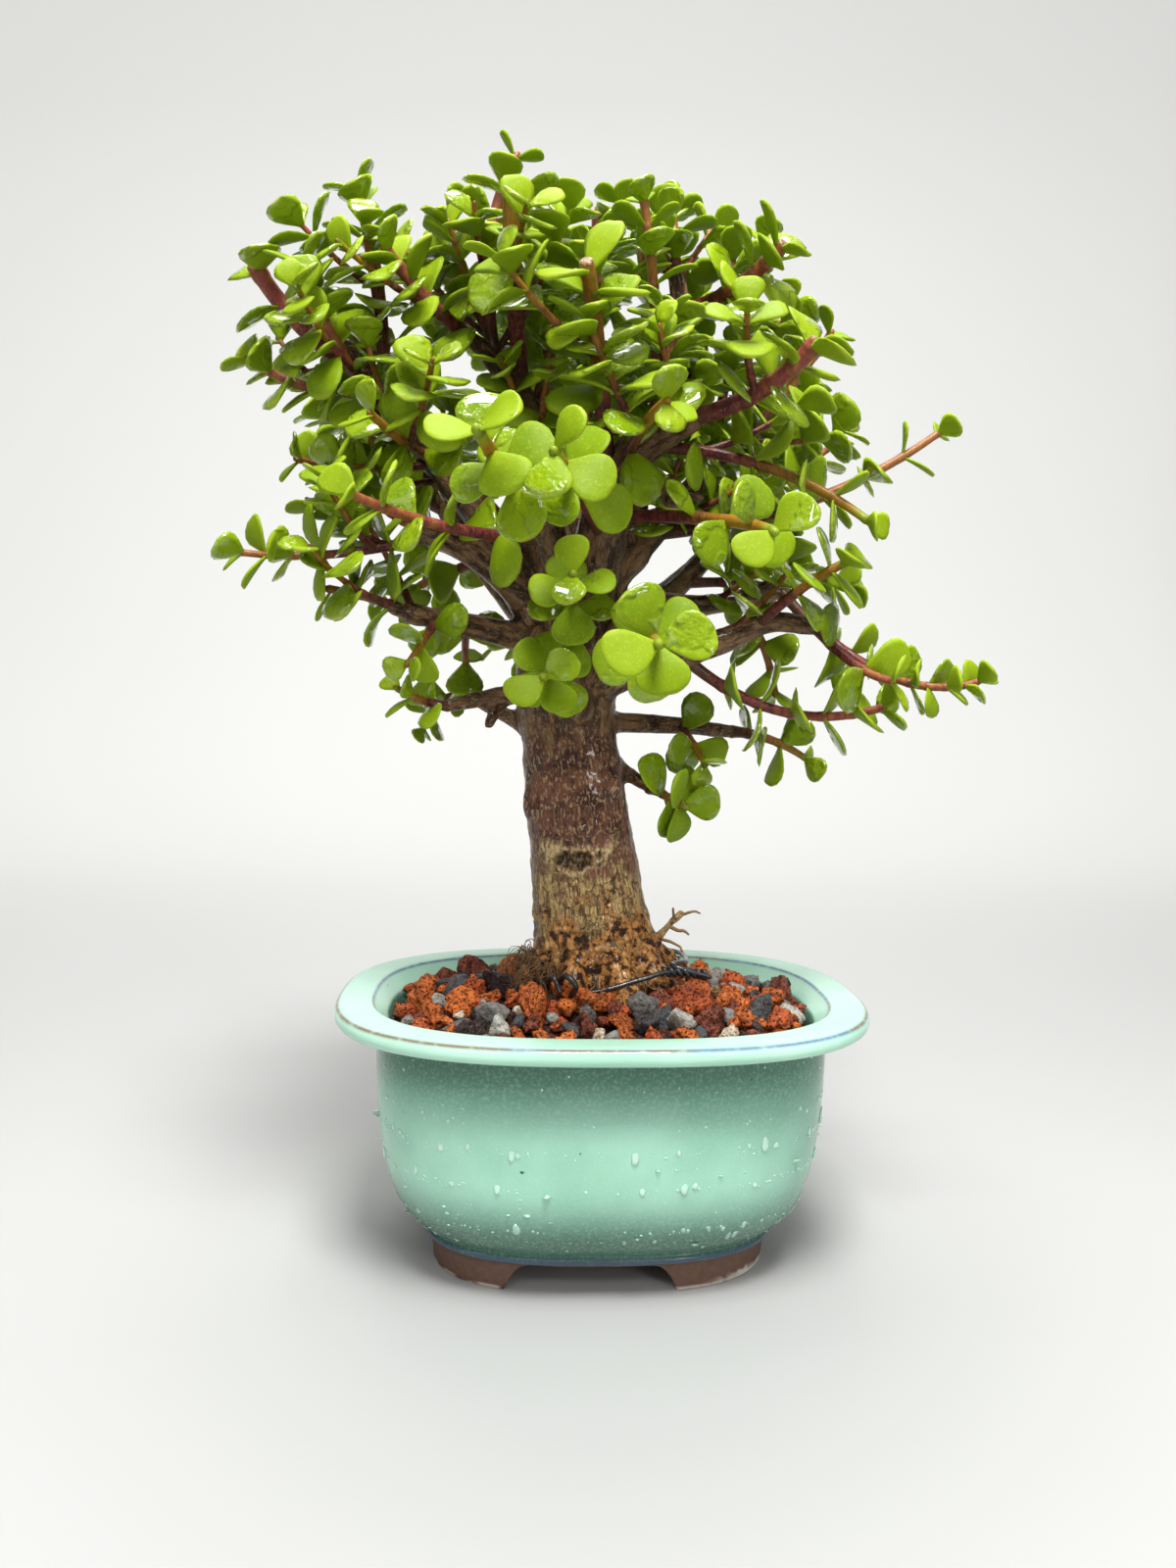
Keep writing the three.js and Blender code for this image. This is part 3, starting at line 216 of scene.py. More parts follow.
# How a side twig is picked: tries in all, candidates a try, farthest a tip may be from a leaf already
# placed, least room round it, fewest leaves, and the range of its length and of its leaves'.
TWIG_RULE = {
    "tries": 400, "candidates": 14, "reach": 26, "room": 6.5, "leaves": 4, "length": (18, 38),
    "leaf": (12.5, 15.5),
}
CROWN_HEART = np.array([-4.0, 6.0, 214.0])  # twigs head away from it
CLEAR_VIEW = [(-52, 34), (-200, -4), (140, 246)]  # x, y, z of the open space before the limbs' fork
# Outline of the crown in the picture that the camera takes, in pixels. Side twigs end within it.
CROWN_OUTLINE = np.array([
    (262, 258), (300, 215), (345, 200), (440, 200), (505, 178), (560, 198), (640, 196), (700, 205),
    (765, 228), (810, 262), (832, 330), (838, 390), (880, 430), (960, 420), (965, 465), (885, 480),
    (830, 505), (850, 560), (830, 590), (790, 610), (735, 600), (690, 560), (640, 515), (560, 490),
    (500, 500), (440, 520), (385, 540), (330, 560), (262, 568), (262, 545), (310, 505), (335, 470),
    (300, 420), (262, 400), (250, 365), (270, 320),
])

# ---------------------------------------------------------------- sizes of the grit and the wire

GRIT = {"wall_top": 73.5, "crown_top": 84, "inset": 17}
STONE_FLOOR = 71.5  # lowest point of a stone
TIE_RADIUS = 0.75
TIE_FRONT = [
    (-26, 8, 78), (-25, -2, 87.5), (-17, -19, 85.5), (-4, -24, 85), (10, -22, 88.2), (20, -19, 90),
    (30, -17, 87.5),
]
TIE_BACK = [
    (-24, 22, 77), (-10, 31, 86), (10, 30, 87), (25, 14, 89), (26, -4, 90), (20, -17, 91.4),
    (31, -19, 88.4),
]
TIE_TWIST = {"start": (17.0, -19.0, 90.0), "end": (30.0, -17.5, 88.9), "turns": 3.2, "apart": 0.95,
             "thickness": 0.92}
TIE_LOOPS = [  # small loops of its spare end: path, points along it, thickness over the wire's
    ([(-14, -22, 86), (-12, -27, 90.5), (-9, -29, 88), (-10, -26, 84.5)], 24, 1.2),
    ([(-17, -21, 86), (-15.5, -26, 90), (-13.5, -28, 86)], 20, 1),
]

# ---------------------------------------------------------------- small tools


def unit(vectors):
    """Vectors over their own lengths."""
    return vectors / np.maximum(np.linalg.norm(vectors, axis=-1, keepdims=True), 1e-12)


def dot(a, b):
    """Scalar products along the last axis."""
    return (a * b).sum(-1)


def turned(vectors, axis, angle):
    """Vectors turned about a unit axis by an angle in radians (Rodrigues)."""
    c, s = math.cos(angle), math.sin(angle)
    return vectors * c + np.cross(axis, vectors) * s + axis * dot(axis, vectors)[..., None] * (1 - c)


def dice(seed):
    """A seeded run of numbers from 0 to 1: the state times 1664525 plus 1013904223, over 2 to the 32."""
    state = seed
    while True:
        state = (state * 1664525 + 1013904223) % 2**32
        yield state / 2**32


def noise(points, seed=0):
    """Smooth noise from -1 to 1: a random value at each corner of unit cells, blended by an S-curve."""
    cell = np.floor(points).astype(np.int64)
    share = points - cell
    share = share * share * (3 - 2 * share)
    total = np.zeros(points.shape[:-1])
    for corner in itertools.product((0, 1), repeat=3):
        key = cell + np.array(corner)
        mixed = key[..., 0] * 73856093 ^ key[..., 1] * 19349663 ^ key[..., 2] * 83492791 ^ seed * 2654435
        mixed = (mixed ^ (mixed >> 13)) * 1274126177 & 0x7FFFFFFF
        value = ((mixed ^ (mixed >> 16)) & 0xFFFF) / 32767.5 - 1
        total += np.where(np.array(corner) == 1, share, 1 - share).prod(-1) * value
    return total


def rough(points, seed=0, octaves=3):
    """Noise with finer and weaker noise added, each octave at half the size and half the height."""
    return sum(noise(points * 2**k, seed + k) / 2**k for k in range(octaves))


def catmull(path, share):
    """Points of a uniform Catmull-Rom curve through a path, its ends carried straight on."""
    path = np.array(path, float)
    path = np.vstack([2 * path[0] - path[1], path, 2 * path[-1] - path[-2]])
    share = np.atleast_1d(np.asarray(share, float)) * (len(path) - 3)
    k = np.minimum(share.astype(int), len(path) - 4)
    t = (share - k)[:, None]
    a, b, c, d = (path[k + i] for i in range(4))
    return 0.5 * (2 * b + (c - a) * t + (2 * a - 5 * b + 4 * c - d) * t**2 + (3 * b - a - 3 * c + d) * t**3)


def arc(root, middle, tip, share):
    """Points of a quadratic Bezier curve, and its unit tangents."""
    t = np.atleast_1d(np.asarray(share, float))[:, None]
    points = (1 - t) ** 2 * root + 2 * t * (1 - t) * middle + t**2 * tip
    return points, unit((1 - t) * (middle - root) + t * (tip - middle))


def least_axis(chord):
    """The world axis that a chord runs along least."""
    return np.eye(3)[np.argmin(np.abs(chord))]


def square_to(direction, reference):
    """Two unit vectors square to each direction, turned as little as the reference allows."""
    side = unit(reference - dot(reference, direction)[..., None] * direction)
    return side, np.cross(direction, side)


def tangents(points):
    """Unit directions along a run of points."""
    return unit(np.gradient(points, axis=0))


# ---------------------------------------------------------------- skins


def grid_skin(points, marks=None, finish=0, poles=None):
    """A skin on a grid of rows and columns that closes round the columns, with a fan over both ends.

    points is (rows, columns, 3). Faces point out where the columns go round anticlockwise, seen from
    the last row. The fans meet at two poles, or else at the middle of the end rows.
    """
    rows, columns, _ = points.shape
    if poles is None:
        poles = (points[0].mean(0), points[-1].mean(0))
    flat = {}
    for name, values in (marks or {}).items():
        values = np.broadcast_to(values, (rows, columns, *np.shape(values)[2:])).astype(float)
        body = values.reshape(rows * columns, *values.shape[2:])
        flat[name] = np.concatenate([body, [values[0].mean(0)], [values[-1].mean(0)]])
    return {
        "points": np.vstack([points.reshape(-1, 3), *poles]),
        "faces": grid_faces(rows, columns),
        "marks": flat,
        "finish": finish,
    }


def grid_faces(rows, columns):
    """Quads between the rows of a closed grid, and triangles to the two poles that follow its points."""
    index = np.arange(rows * columns).reshape(rows, columns)
    across = np.roll(index, -1, axis=1)
    quads = np.stack([index[:-1], across[:-1], across[1:], index[1:]], -1).reshape(-1, 4)
    low, high = rows * columns, rows * columns + 1
    first = np.stack([np.full(columns, low), across[0], index[0], index[0]], -1)
    last = np.stack([np.full(columns, high), index[-1], across[-1], across[-1]], -1)
    return np.vstack([quads, first, last])


# Rings past the ends of a tube: how far they stand out and how wide they are, in radii.
END_RINGS = {"round": ((0.45, 0.9), (0.87, 0.4)), "flat": ((0.12, 0.16), (0.9, 0.5))}


def tube(points, radius, sides, marks=None, finish=0, ends="round"):
    """A round bar carried along a run of points, its ends rounded off like half a ball, or cut flat."""
    direction = tangents(points)
    side, other = square_to(direction, least_axis(points[-1] - points[0]))
    radius = np.broadcast_to(np.asarray(radius, float), len(points))
    reach, width = np.array(END_RINGS[ends])
    before = points[0] - direction[0] * (radius[0] * reach[::-1])[:, None]
    after = points[-1] + direction[-1] * (radius[-1] * reach)[:, None]
    points = np.vstack([before, points, after])
    radius = np.concatenate([radius[0] * width[::-1], radius, radius[-1] * width])
    side, other = (np.pad(values, ((2, 2), (0, 0)), "edge") for values in (side, other))
    angle = np.arange(sides) * 2 * math.pi / sides
    ring = np.cos(angle)[None, :, None] * side[:, None] + np.sin(angle)[None, :, None] * other[:, None]
    spread = {}
    for name, values in (marks or {}).items():
        spread[name] = np.pad(np.asarray(values, float), 2, "edge")[:, None]
    return grid_skin(points[:, None] + radius[:, None, None] * ring, spread, finish)


def joined(skins):
    """Several skins as one, with a mark that a skin lacks set to 0."""
    names = sorted({name for skin in skins for name in skin["marks"]})
    starts = np.cumsum([0] + [len(skin["points"]) for skin in skins[:-1]])
    marks = {}
    for name in names:
        shape = next(skin["marks"][name].shape[1:] for skin in skins if name in skin["marks"])
        marks[name] = np.concatenate([
            skin["marks"].get(name, np.zeros((len(skin["points"]), *shape))) for skin in skins
        ])
    return {
        "points": np.vstack([skin["points"] for skin in skins]),
        "faces": np.vstack([skin["faces"] + start for skin, start in zip(skins, starts)]),
        "marks": marks,
        "finish": np.concatenate([
            np.broadcast_to(skin["finish"], len(skin["faces"])) for skin in skins
        ]),
    }


def put(name, data):
    """An object of some data, in the scene."""
    made = bpy.data.objects.new(name, data)
    bpy.context.scene.collection.objects.link(made)
    return made


def make_piece(name, skins, finishes, nodes=()):
    """One smooth-shaded object at the origin from its skins, riding on the one body."""
    skin = joined(skins)
    faces = skin["faces"]
    is_quad = faces[:, 3] != faces[:, 2]
    used = np.column_stack([np.ones((len(faces), 3), bool), is_quad]).ravel()
    corners = faces.ravel()[used].astype(np.int32)
    starts = np.concatenate([[0], np.cumsum(3 + is_quad)[:-1]]).astype(np.int32)
    mesh = bpy.data.meshes.new(name)
    mesh.vertices.add(len(skin["points"]))
    mesh.vertices.foreach_set("co", (skin["points"] * MM).astype(np.float32).ravel())
    mesh.loops.add(len(corners))
    mesh.loops.foreach_set("vertex_index", corners)
    mesh.polygons.add(len(faces))
    mesh.polygons.foreach_set("loop_start", starts)
    mesh.polygons.foreach_set("material_index", skin["finish"].astype(np.int32))
    mesh.update(calc_edges=True)
    mesh.polygons.foreach_set("use_smooth", np.ones(len(faces), bool))
    for mark_name, values in skin["marks"].items():
        kind, field = ("FLOAT_VECTOR", "vector") if values.ndim == 2 else ("FLOAT", "value")
        attribute = mesh.attributes.new(mark_name, kind, "POINT")
        attribute.data.foreach_set(field, values.astype(np.float32).ravel())
    piece = put(name, mesh)
    for finish in finishes:
        mesh.materials.append(finish)
    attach(piece, "root")
    if nodes:
        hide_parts(*nodes)
    return piece


# ---------------------------------------------------------------- shader tools


def add(tree, kind, inputs=None, **settings):
    """A shader node with its settings, each input linked where it is given a socket, or else set."""
    made = tree.nodes.new(kind)
    for name, value in settings.items():
        setattr(made, name, value)
    for name, value in (inputs or {}).items():
        if isinstance(value, bpy.types.NodeSocket):
            tree.links.new(value, made.inputs[name])
        else:
            made.inputs[name].default_value = value
    return made


def mix(tree, factor, a, b, blend="MIX"):
    """Colour a turned into b by a factor."""
    made = add(tree, "ShaderNodeMix", data_type="RGBA", blend_type=blend)
    for slot, value in ((0, factor), (6, a), (7, b)):
        if isinstance(value, bpy.types.NodeSocket):
            tree.links.new(value, made.inputs[slot])
        elif slot == 0:
            made.inputs[slot].default_value = value
        else:
            made.inputs[slot].default_value = (*value, 1)
    return made.outputs[2]


def sums(tree, operation, a, b=0.0):
    """One step of arithmetic on numbers."""
    return add(tree, "ShaderNodeMath", {0: a, 1: b}, operation=operation).outputs[0]


def times(tree, a, b):
    """The product of two numbers."""
    return sums(tree, "MULTIPLY", a, b)


def remap(tree, value, low, high, to_low=0.0, to_high=1.0):
    """A number from one range brought to another, clamped, along an S-curve."""
    made = add(
        tree, "ShaderNodeMapRange",
        {"Value": value, "From Min": low, "From Max": high, "To Min": to_low, "To Max": to_high},
        interpolation_type="SMOOTHSTEP",
    )
    return made.outputs["Result"]


def layer(tree, under, tint, source, low, high, most=1.0):
    """A tint laid over a colour: none of it where the source is at low, the share `most` at high."""
    return mix(tree, remap(tree, source, low, high, 0, most), under, tint)


def mark(tree, name):
    """A mark on the piece's points, as a number."""
    return add(tree, "ShaderNodeAttribute", attribute_name=name).outputs["Fac"]


def mark_vector(tree, name):
    """A mark on the piece's points, as three numbers."""
    return add(tree, "ShaderNodeAttribute", attribute_name=name).outputs["Vector"]


def place(tree, scale=(1, 1, 1), vector=None):
    """Object coordinates, or another vector, times a scale along each axis."""
    if vector is None:
        vector = add(tree, "ShaderNodeTexCoord").outputs["Object"]
    return add(tree, "ShaderNodeMapping", {"Vector": vector, "Scale": scale}).outputs["Vector"]


def axes(tree):
    """The object coordinates X, Y and Z, each as a number."""
    return add(tree, "ShaderNodeSeparateXYZ", {"Vector": place(tree)}).outputs


def grain(tree, scale, detail=3.0, roughness=0.55, vector=None):
    """Fractal noise from 0 to 1; scale is in cycles a metre."""
    inputs = {"Vector": vector or place(tree), "Scale": scale, "Detail": detail, "Roughness": roughness}
    return add(tree, "ShaderNodeTexNoise", inputs).outputs["Fac"]


def pores(tree, scale, vector=None, feature="F1"):
    """Distance to the nearest of scattered points."""
    inputs = {"Vector": vector or place(tree), "Scale": scale}
    return add(tree, "ShaderNodeTexVoronoi", inputs, feature=feature).outputs["Distance"]


def bump(tree, height, distance, strength=1.0, under=None):
    """Relief of a height in metres times `distance`, over another normal."""
    inputs = {"Height": height, "Distance": distance, "Strength": strength}
    if under:
        inputs["Normal"] = under
    return add(tree, "ShaderNodeBump", inputs).outputs["Normal"]


def new_finish(name, **plain):
    """A material with one Principled shader; returns the material, its tree and the shader."""
    finish = bpy.data.materials.new(name)
    finish.use_nodes = True
    shader = finish.node_tree.nodes["Principled BSDF"]
    for label, value in plain.items():
        shader.inputs[label.replace("_", " ")].default_value = value
    return finish, finish.node_tree, shader


def dress(tree, shader, **sockets):
    """Links sockets to the shader's inputs, whose spaces are written as underlines."""
    for label, socket in sockets.items():
        tree.links.new(socket, shader.inputs[label.replace("_", " ")])


# ---------------------------------------------------------------- finishes


def celadon_finish():
    """Green glaze, thin and mauve on its edges, with pinholes, over a bare clay foot; painted shade low down,
    under the lip and at the right end, and painted light on the lip.
    """
    finish, tree, shader = new_finish(
        "celadon_glaze", Coat_Weight=0.25, Coat_Roughness=0.06, Specular_IOR_Level=0.15,
    )
    where = axes(tree)
    x, y, height = where["X"], where["Y"], where["Z"]
    cloudy = grain(tree, 30, 3)
    fine = grain(tree, 1100, 2)
    body = layer(tree, (0.31, 0.60, 0.445), (0.39, 0.70, 0.535), cloudy, 0.35, 0.68)
    # Painted shade: the body darkens towards the foot, from 37 mm down to 17 mm.
    body = layer(tree, body, (0.040, 0.105, 0.075), height, 0.037, 0.017, 0.88)
    # Painted shadow under the lip: a deeper green from 48 mm up to the lip's underside.
    body = layer(tree, body, (0.055, 0.15, 0.10), height, 0.048, 0.070, 0.92)
    # Painted shade: the right end of the pot turns a deeper green.
    body = layer(tree, body, (0.10, 0.25, 0.175), x, 0.036, 0.068, 0.5)
    body = layer(tree, body, (0.45, 0.72, 0.56), fine, 0.42, 0.75, 0.22)
    # Painted light: the lip's top and rim are a paler green than the body.
    lip = layer(tree, (0.40, 0.69, 0.53), (0.47, 0.76, 0.60), cloudy, 0.3, 0.7)
    body = layer(tree, body, lip, height, 0.0745, 0.0755)
    body = layer(tree, body, (0.03, 0.05, 0.05), pores(tree, 95), 0.045, 0.015, 0.85)
    from_pit = add(tree, "ShaderNodeVectorMath", {0: place(tree), 1: PIT}, operation="DISTANCE")
    ragged = sums(tree, "ADD", from_pit.outputs["Value"], times(tree, grain(tree, 900, 2), 0.0008))
    body = layer(tree, body, (0.02, 0.012, 0.015), ragged, 0.0017, 0.0013)
    edge = layer(tree, (0.12, 0.17, 0.30), (0.19, 0.11, 0.10), grain(tree, 24, 1), 0.50, 0.60)
    scorched = times(tree, remap(tree, x, -0.020, -0.034), remap(tree, y, 0.0, -0.02))
    edge = mix(tree, scorched, edge, (0.19, 0.095, 0.065))
    edge = layer(tree, edge, (0.065, 0.088, 0.15), height, 0.02, 0.012)
    broken = times(tree, mark(tree, "thin"), remap(tree, grain(tree, 420, 3), 0.28, 0.55, 0.65, 1.0))
    clay = mix(tree, grain(tree, 500, 4), (0.100, 0.052, 0.034), (0.18, 0.105, 0.075))
    worn = times(tree, remap(tree, height, 0.0018, 0.0006), remap(tree, grain(tree, 160), 0.38, 0.52))
    clay = mix(tree, worn, clay, (0.66, 0.57, 0.50))
    torn = sums(tree, "ADD", height, times(tree, grain(tree, 380, 3), 0.004))
    chipped = times(tree, remap(tree, x, 0.028, 0.046), remap(tree, torn, 0.0052, 0.0032))
    clay = mix(tree, chipped, clay, (0.72, 0.68, 0.60))
    bare = mark(tree, "bare")
    relief = bump(tree, cloudy, 0.0008, 0.3)
    dress(
        tree, shader,
        Base_Color=mix(tree, bare, mix(tree, broken, body, edge), clay),
        Roughness=sums(tree, "ADD", 0.22, times(tree, bare, 0.6)),
        Normal=bump(tree, fine, 0.00012, 0.35, relief),
    )
    return finish


def drop_finish():
    """Water over the glaze: a paler green than the glaze as a painted highlight, darker low down as painted
    shade, with a sharp shine.
    """
    finish, tree, shader = new_finish(
        "water_on_glaze", Roughness=0.04, Coat_Weight=1.0, Coat_Roughness=0.02,
    )
    # Painted highlight: the drops are a paler green than the glaze round them.
    painted_highlight_green = mix(tree, grain(tree, 60, 2), (0.40, 0.68, 0.52), (0.56, 0.82, 0.68))
    # Painted shade: the drops darken towards the foot, like the painted shade on the pot's body.
    dress(tree, shader, Base_Color=layer(tree, painted_highlight_green, (0.17, 0.32, 0.25), axes(tree)["Z"], 0.034, 0.016, 0.8))
    return finish


def stone_finish():
    """Porous lava, pumice and dark gravel; each stone's colour and its share of pores are marks."""
    finish, tree, shader = new_finish("lava_and_pumice", Specular_IOR_Level=0.2)
    tone = mark_vector(tree, "tone")
    coarse = grain(tree, 520, 5, 0.65)
    deep = mix(tree, 1.0, tone, (0.42, 0.30, 0.26), "MULTIPLY")
    dusty = mix(tree, 0.35, tone, (0.75, 0.5, 0.36))
    pits = times(tree, remap(tree, pores(tree, 1000), 0.42, 0.16), mark(tree, "porous"))
    colour = layer(tree, deep, tone, coarse, 0.32, 0.58)
    colour = layer(tree, colour, dusty, grain(tree, 1300, 3), 0.5, 0.72, 0.45)
    colour = mix(tree, times(tree, pits, 0.8), colour, (0.028, 0.010, 0.008))
    colour = mix(tree, times(tree, mark(tree, "hollow"), 0.72), colour, (0.022, 0.009, 0.007))
    relief = bump(tree, coarse, 0.0018, 0.8)
    dress(
        tree, shader, Base_Color=colour, Normal=bump(tree, times(tree, pits, -1.0), 0.0008, 1.0, relief),
        Roughness=remap(tree, grain(tree, 260, 2), 0.35, 0.7, 0.42, 0.85),
    )
    return finish


def bark_finish():
    """Bark: grey-brown and cracked above, smooth purple-brown in the middle, then ochre scales, and
    orange-brown and crumbling at the foot. The mark `fibre` runs round and along each limb."""
    finish, tree, shader = new_finish(
        "wet_bark", Coat_Weight=0.25, Coat_Roughness=0.1, Specular_IOR_Level=0.15,
    )
    along = mark_vector(tree, "fibre")
    beside = add(
        tree, "ShaderNodeVectorMath", {0: along, 1: (0.0035, 0.0035, 0.0035)}, operation="ADD",
    ).outputs[0]
    streaks = grain(tree, 800, 6, 0.66, place(tree, (1, 1, 0.2), along))
    fine = grain(tree, 1250, 5, 0.65, place(tree, (1, 1, 0.5), along))
    scaly = grain(tree, 520, 6, 0.7, place(tree, (1, 1, 0.55), along))
    ridges = grain(tree, 330, 6, 0.62, place(tree, (1, 1, 0.22), along))
    patches = grain(tree, 150, 4, 0.6)
    lumpy = grain(tree, 330, 6, 0.7)
    upper = layer(tree, (0.050, 0.024, 0.012), (0.30, 0.165, 0.075), ridges, 0.42, 0.58)
    upper = layer(tree, upper, (0.085, 0.042, 0.020), streaks, 0.52, 0.62, 0.6)
    upper = layer(tree, upper, (0.42, 0.28, 0.145), fine, 0.52, 0.66, 0.6)
    middle = layer(tree, (0.060, 0.023, 0.018), (0.20, 0.080, 0.046), patches, 0.36, 0.62)
    middle = layer(tree, middle, (0.022, 0.010, 0.008), scaly, 0.50, 0.62, 0.75)
    middle = layer(tree, middle, (0.46, 0.29, 0.16), fine, 0.52, 0.60, 0.85)
    low = layer(tree, (0.105, 0.050, 0.020), (0.68, 0.45, 0.18), scaly, 0.40, 0.54)
    low = layer(tree, low, (0.13, 0.060, 0.026), streaks, 0.50, 0.60, 0.45)
    low = layer(tree, low, (0.16, 0.075, 0.036), lumpy, 0.50, 0.58, 0.65)
    low = layer(tree, low, (0.80, 0.60, 0.31), fine, 0.54, 0.62, 0.7)
    low = layer(tree, low, (0.24, 0.19, 0.055), patches, 0.54, 0.68, 0.35)
    foot = layer(tree, (0.045, 0.018, 0.010), (0.60, 0.26, 0.070), lumpy, 0.44, 0.53)
    foot = layer(tree, foot, (0.84, 0.56, 0.26), lumpy, 0.55, 0.64, 0.85)
    foot = layer(tree, foot, (0.13, 0.055, 0.022), fine, 0.54, 0.66, 0.5)
    wander = times(tree, sums(tree, "SUBTRACT", patches, 0.5), 0.06)
    level = sums(tree, "ADD", axes(tree)["Z"], wander)
    colour = layer(tree, foot, low, level, 0.098, 0.108)
    colour = layer(tree, colour, middle, level, 0.110, 0.127)
    colour = layer(tree, colour, upper, level, 0.148, 0.172)
    cells = pores(tree, 420, place(tree, (1, 1, 0.42), beside), "DISTANCE_TO_EDGE")
    rifted = sums(
        tree, "ADD", remap(tree, level, 0.130, 0.112, 0, 0.7), remap(tree, level, 0.160, 0.180, 0, 0.5),
    )
    split = times(tree, remap(tree, cells, 0.05, 0.0), rifted)
    colour = mix(tree, split, colour, (0.022, 0.011, 0.007))
    scar = layer(tree, (0.20, 0.11, 0.045), (0.74, 0.54, 0.27), fine, 0.36, 0.52)
    hole = layer(tree, (0.010, 0.005, 0.003), (0.24, 0.145, 0.06), fine, 0.42, 0.58)
    colour = mix(tree, mark(tree, "scar"), colour, scar)
    colour = mix(tree, mark(tree, "hole"), colour, hole)
    relief = None
    for height, distance, strength in (
        (streaks, 0.0016, 0.8),
        (times(tree, ridges, remap(tree, level, 0.140, 0.170)), 0.0035, 0.8),
        (times(tree, split, -1.0), 0.0007, 0.8),
        (times(tree, lumpy, remap(tree, level, 0.125, 0.105)), 0.0022, 0.8),
        (fine, 0.0005, 0.7),
    ):
        relief = bump(tree, height, distance, strength, relief)
    smooth = remap(tree, patches, 0.35, 0.65, 0.22, 0.45)
    dress(
        tree, shader, Base_Color=colour, Normal=relief,
        Roughness=sums(tree, "ADD", smooth, remap(tree, level, 0.128, 0.108, 0, 0.3)),
    )
    return finish


def stem_finish():
    """Young stems: woody at the root, wine-red over the middle, then orange or pink, ringed at each pair
    of leaves, with a dry cut end."""
    finish, tree, shader = new_finish(
        "young_stem", Coat_Weight=0.12, Coat_Roughness=0.14, Specular_IOR_Level=0.2,
    )
    along = mark(tree, "along")
    red = mark(tree, "red")
    node = mark(tree, "node")
    streak = grain(tree, 620, 5, 0.65, place(tree, (1, 1, 0.25)))
    fine = grain(tree, 1700, 3)
    tip = layer(tree, (0.25, 0.125, 0.008), (0.24, 0.042, 0.040), red, 0.3, 0.9)
    tip = layer(tree, tip, (0.36, 0.16, 0.018), streak, 0.42, 0.66, 0.6)
    wine = layer(tree, (0.060, 0.010, 0.012), (0.19, 0.035, 0.030), streak, 0.38, 0.62)
    wood = mix(tree, streak, (0.030, 0.013, 0.008), (0.12, 0.055, 0.028))
    colour = layer(tree, wood, wine, along, 0.04, 0.26)
    reach = sums(tree, "ADD", along, times(tree, streak, 0.3))
    colour = layer(tree, colour, tip, reach, 0.48, 0.85)
    colour = layer(tree, colour, (0.42, 0.24, 0.10), fine, 0.56, 0.70, 0.35)
    fresh = times(tree, remap(tree, along, 0.88, 0.97), remap(tree, red, 0.35, 0.15))
    colour = mix(tree, fresh, colour, (0.21, 0.28, 0.015))
    colour = mix(tree, times(tree, node, 0.55), colour, (0.10, 0.045, 0.012))
    dry = layer(tree, (0.11, 0.050, 0.022), (0.38, 0.24, 0.12), fine, 0.4, 0.6)
    colour = mix(tree, mark(tree, "callus"), colour, dry)
    relief = bump(tree, streak, 0.0005, 0.5)
    dress(
        tree, shader, Base_Color=colour, Normal=bump(tree, node, 0.0003, 0.5, relief),
        Roughness=remap(tree, streak, 0.3, 0.7, 0.28, 0.5),
    )
    return finish


def leaf_finish():
    """Fleshy leaf: yellow-green when young, deeper when old, a paler rim, and a wet skin in places."""
    finish, tree, shader = new_finish(
        "jade_leaf", Subsurface_Weight=0.2, Subsurface_Scale=0.002, Subsurface_Radius=(0.7, 1.0, 0.1),
        Coat_Roughness=0.04, Specular_IOR_Level=0.12,
    )
    tint = mark(tree, "tint")
    young = mix(tree, tint, (0.235, 0.325, 0.006), (0.180, 0.275, 0.004))
    old = mix(tree, tint, (0.215, 0.32, 0.004), (0.145, 0.235, 0.003))
    colour = mix(tree, mark(tree, "age"), young, old)
    pale = mix(tree, 0.35, colour, (0.30, 0.38, 0.014))
    colour = layer(tree, colour, pale, grain(tree, 300, 3), 0.38, 0.72, 0.5)
    colour = layer(tree, colour, (0.36, 0.46, 0.04), grain(tree, 1500, 2), 0.56, 0.66, 0.3)
    colour = mix(tree, times(tree, mark(tree, "under"), 0.35), colour, (0.20, 0.29, 0.015))
    rim = sums(tree, "POWER", mark(tree, "rim"), 2.5)
    colour = mix(tree, times(tree, rim, 0.4), colour, (0.36, 0.45, 0.035))
    wet = times(tree, remap(tree, grain(tree, 110, 2), 0.46, 0.54), mark(tree, "wet"))
    relief = bump(tree, grain(tree, 240, 3), 0.0009, 0.25)
    relief = bump(tree, times(tree, grain(tree, 400, 2), wet), 0.0013, 0.7, relief)
    dress(
        tree, shader, Base_Color=colour, Normal=relief, Coat_Weight=wet,
        Roughness=remap(tree, wet, 0.0, 1.0, 0.5, 0.12),
    )
    return finish


def cord_finish():
    """Black plastic skin of the tie wire, wet and glossy."""
    finish, tree, shader = new_finish("black_tie", Coat_Weight=0.3, Coat_Roughness=0.1)
    worn = grain(tree, 600, 3)
    dress(
        tree, shader, Base_Color=mix(tree, worn, (0.006, 0.006, 0.007), (0.022, 0.022, 0.024)),
        Roughness=remap(tree, worn, 0.3, 0.7, 0.18, 0.4), Normal=bump(tree, worn, 0.0002, 0.3),
    )
    return finish


def net_finish():
    """Dull black plastic of the drainage nets, with dust."""
    finish, tree, shader = new_finish("net_plastic")
    dust = grain(tree, 350, 4)
    dress(
        tree, shader, Base_Color=layer(tree, (0.012, 0.012, 0.013), (0.12, 0.08, 0.06), dust, 0.5, 0.8, 0.5),
        Roughness=remap(tree, dust, 0.3, 0.7, 0.45, 0.8), Normal=bump(tree, dust, 0.0002, 0.4),
    )
    return finish


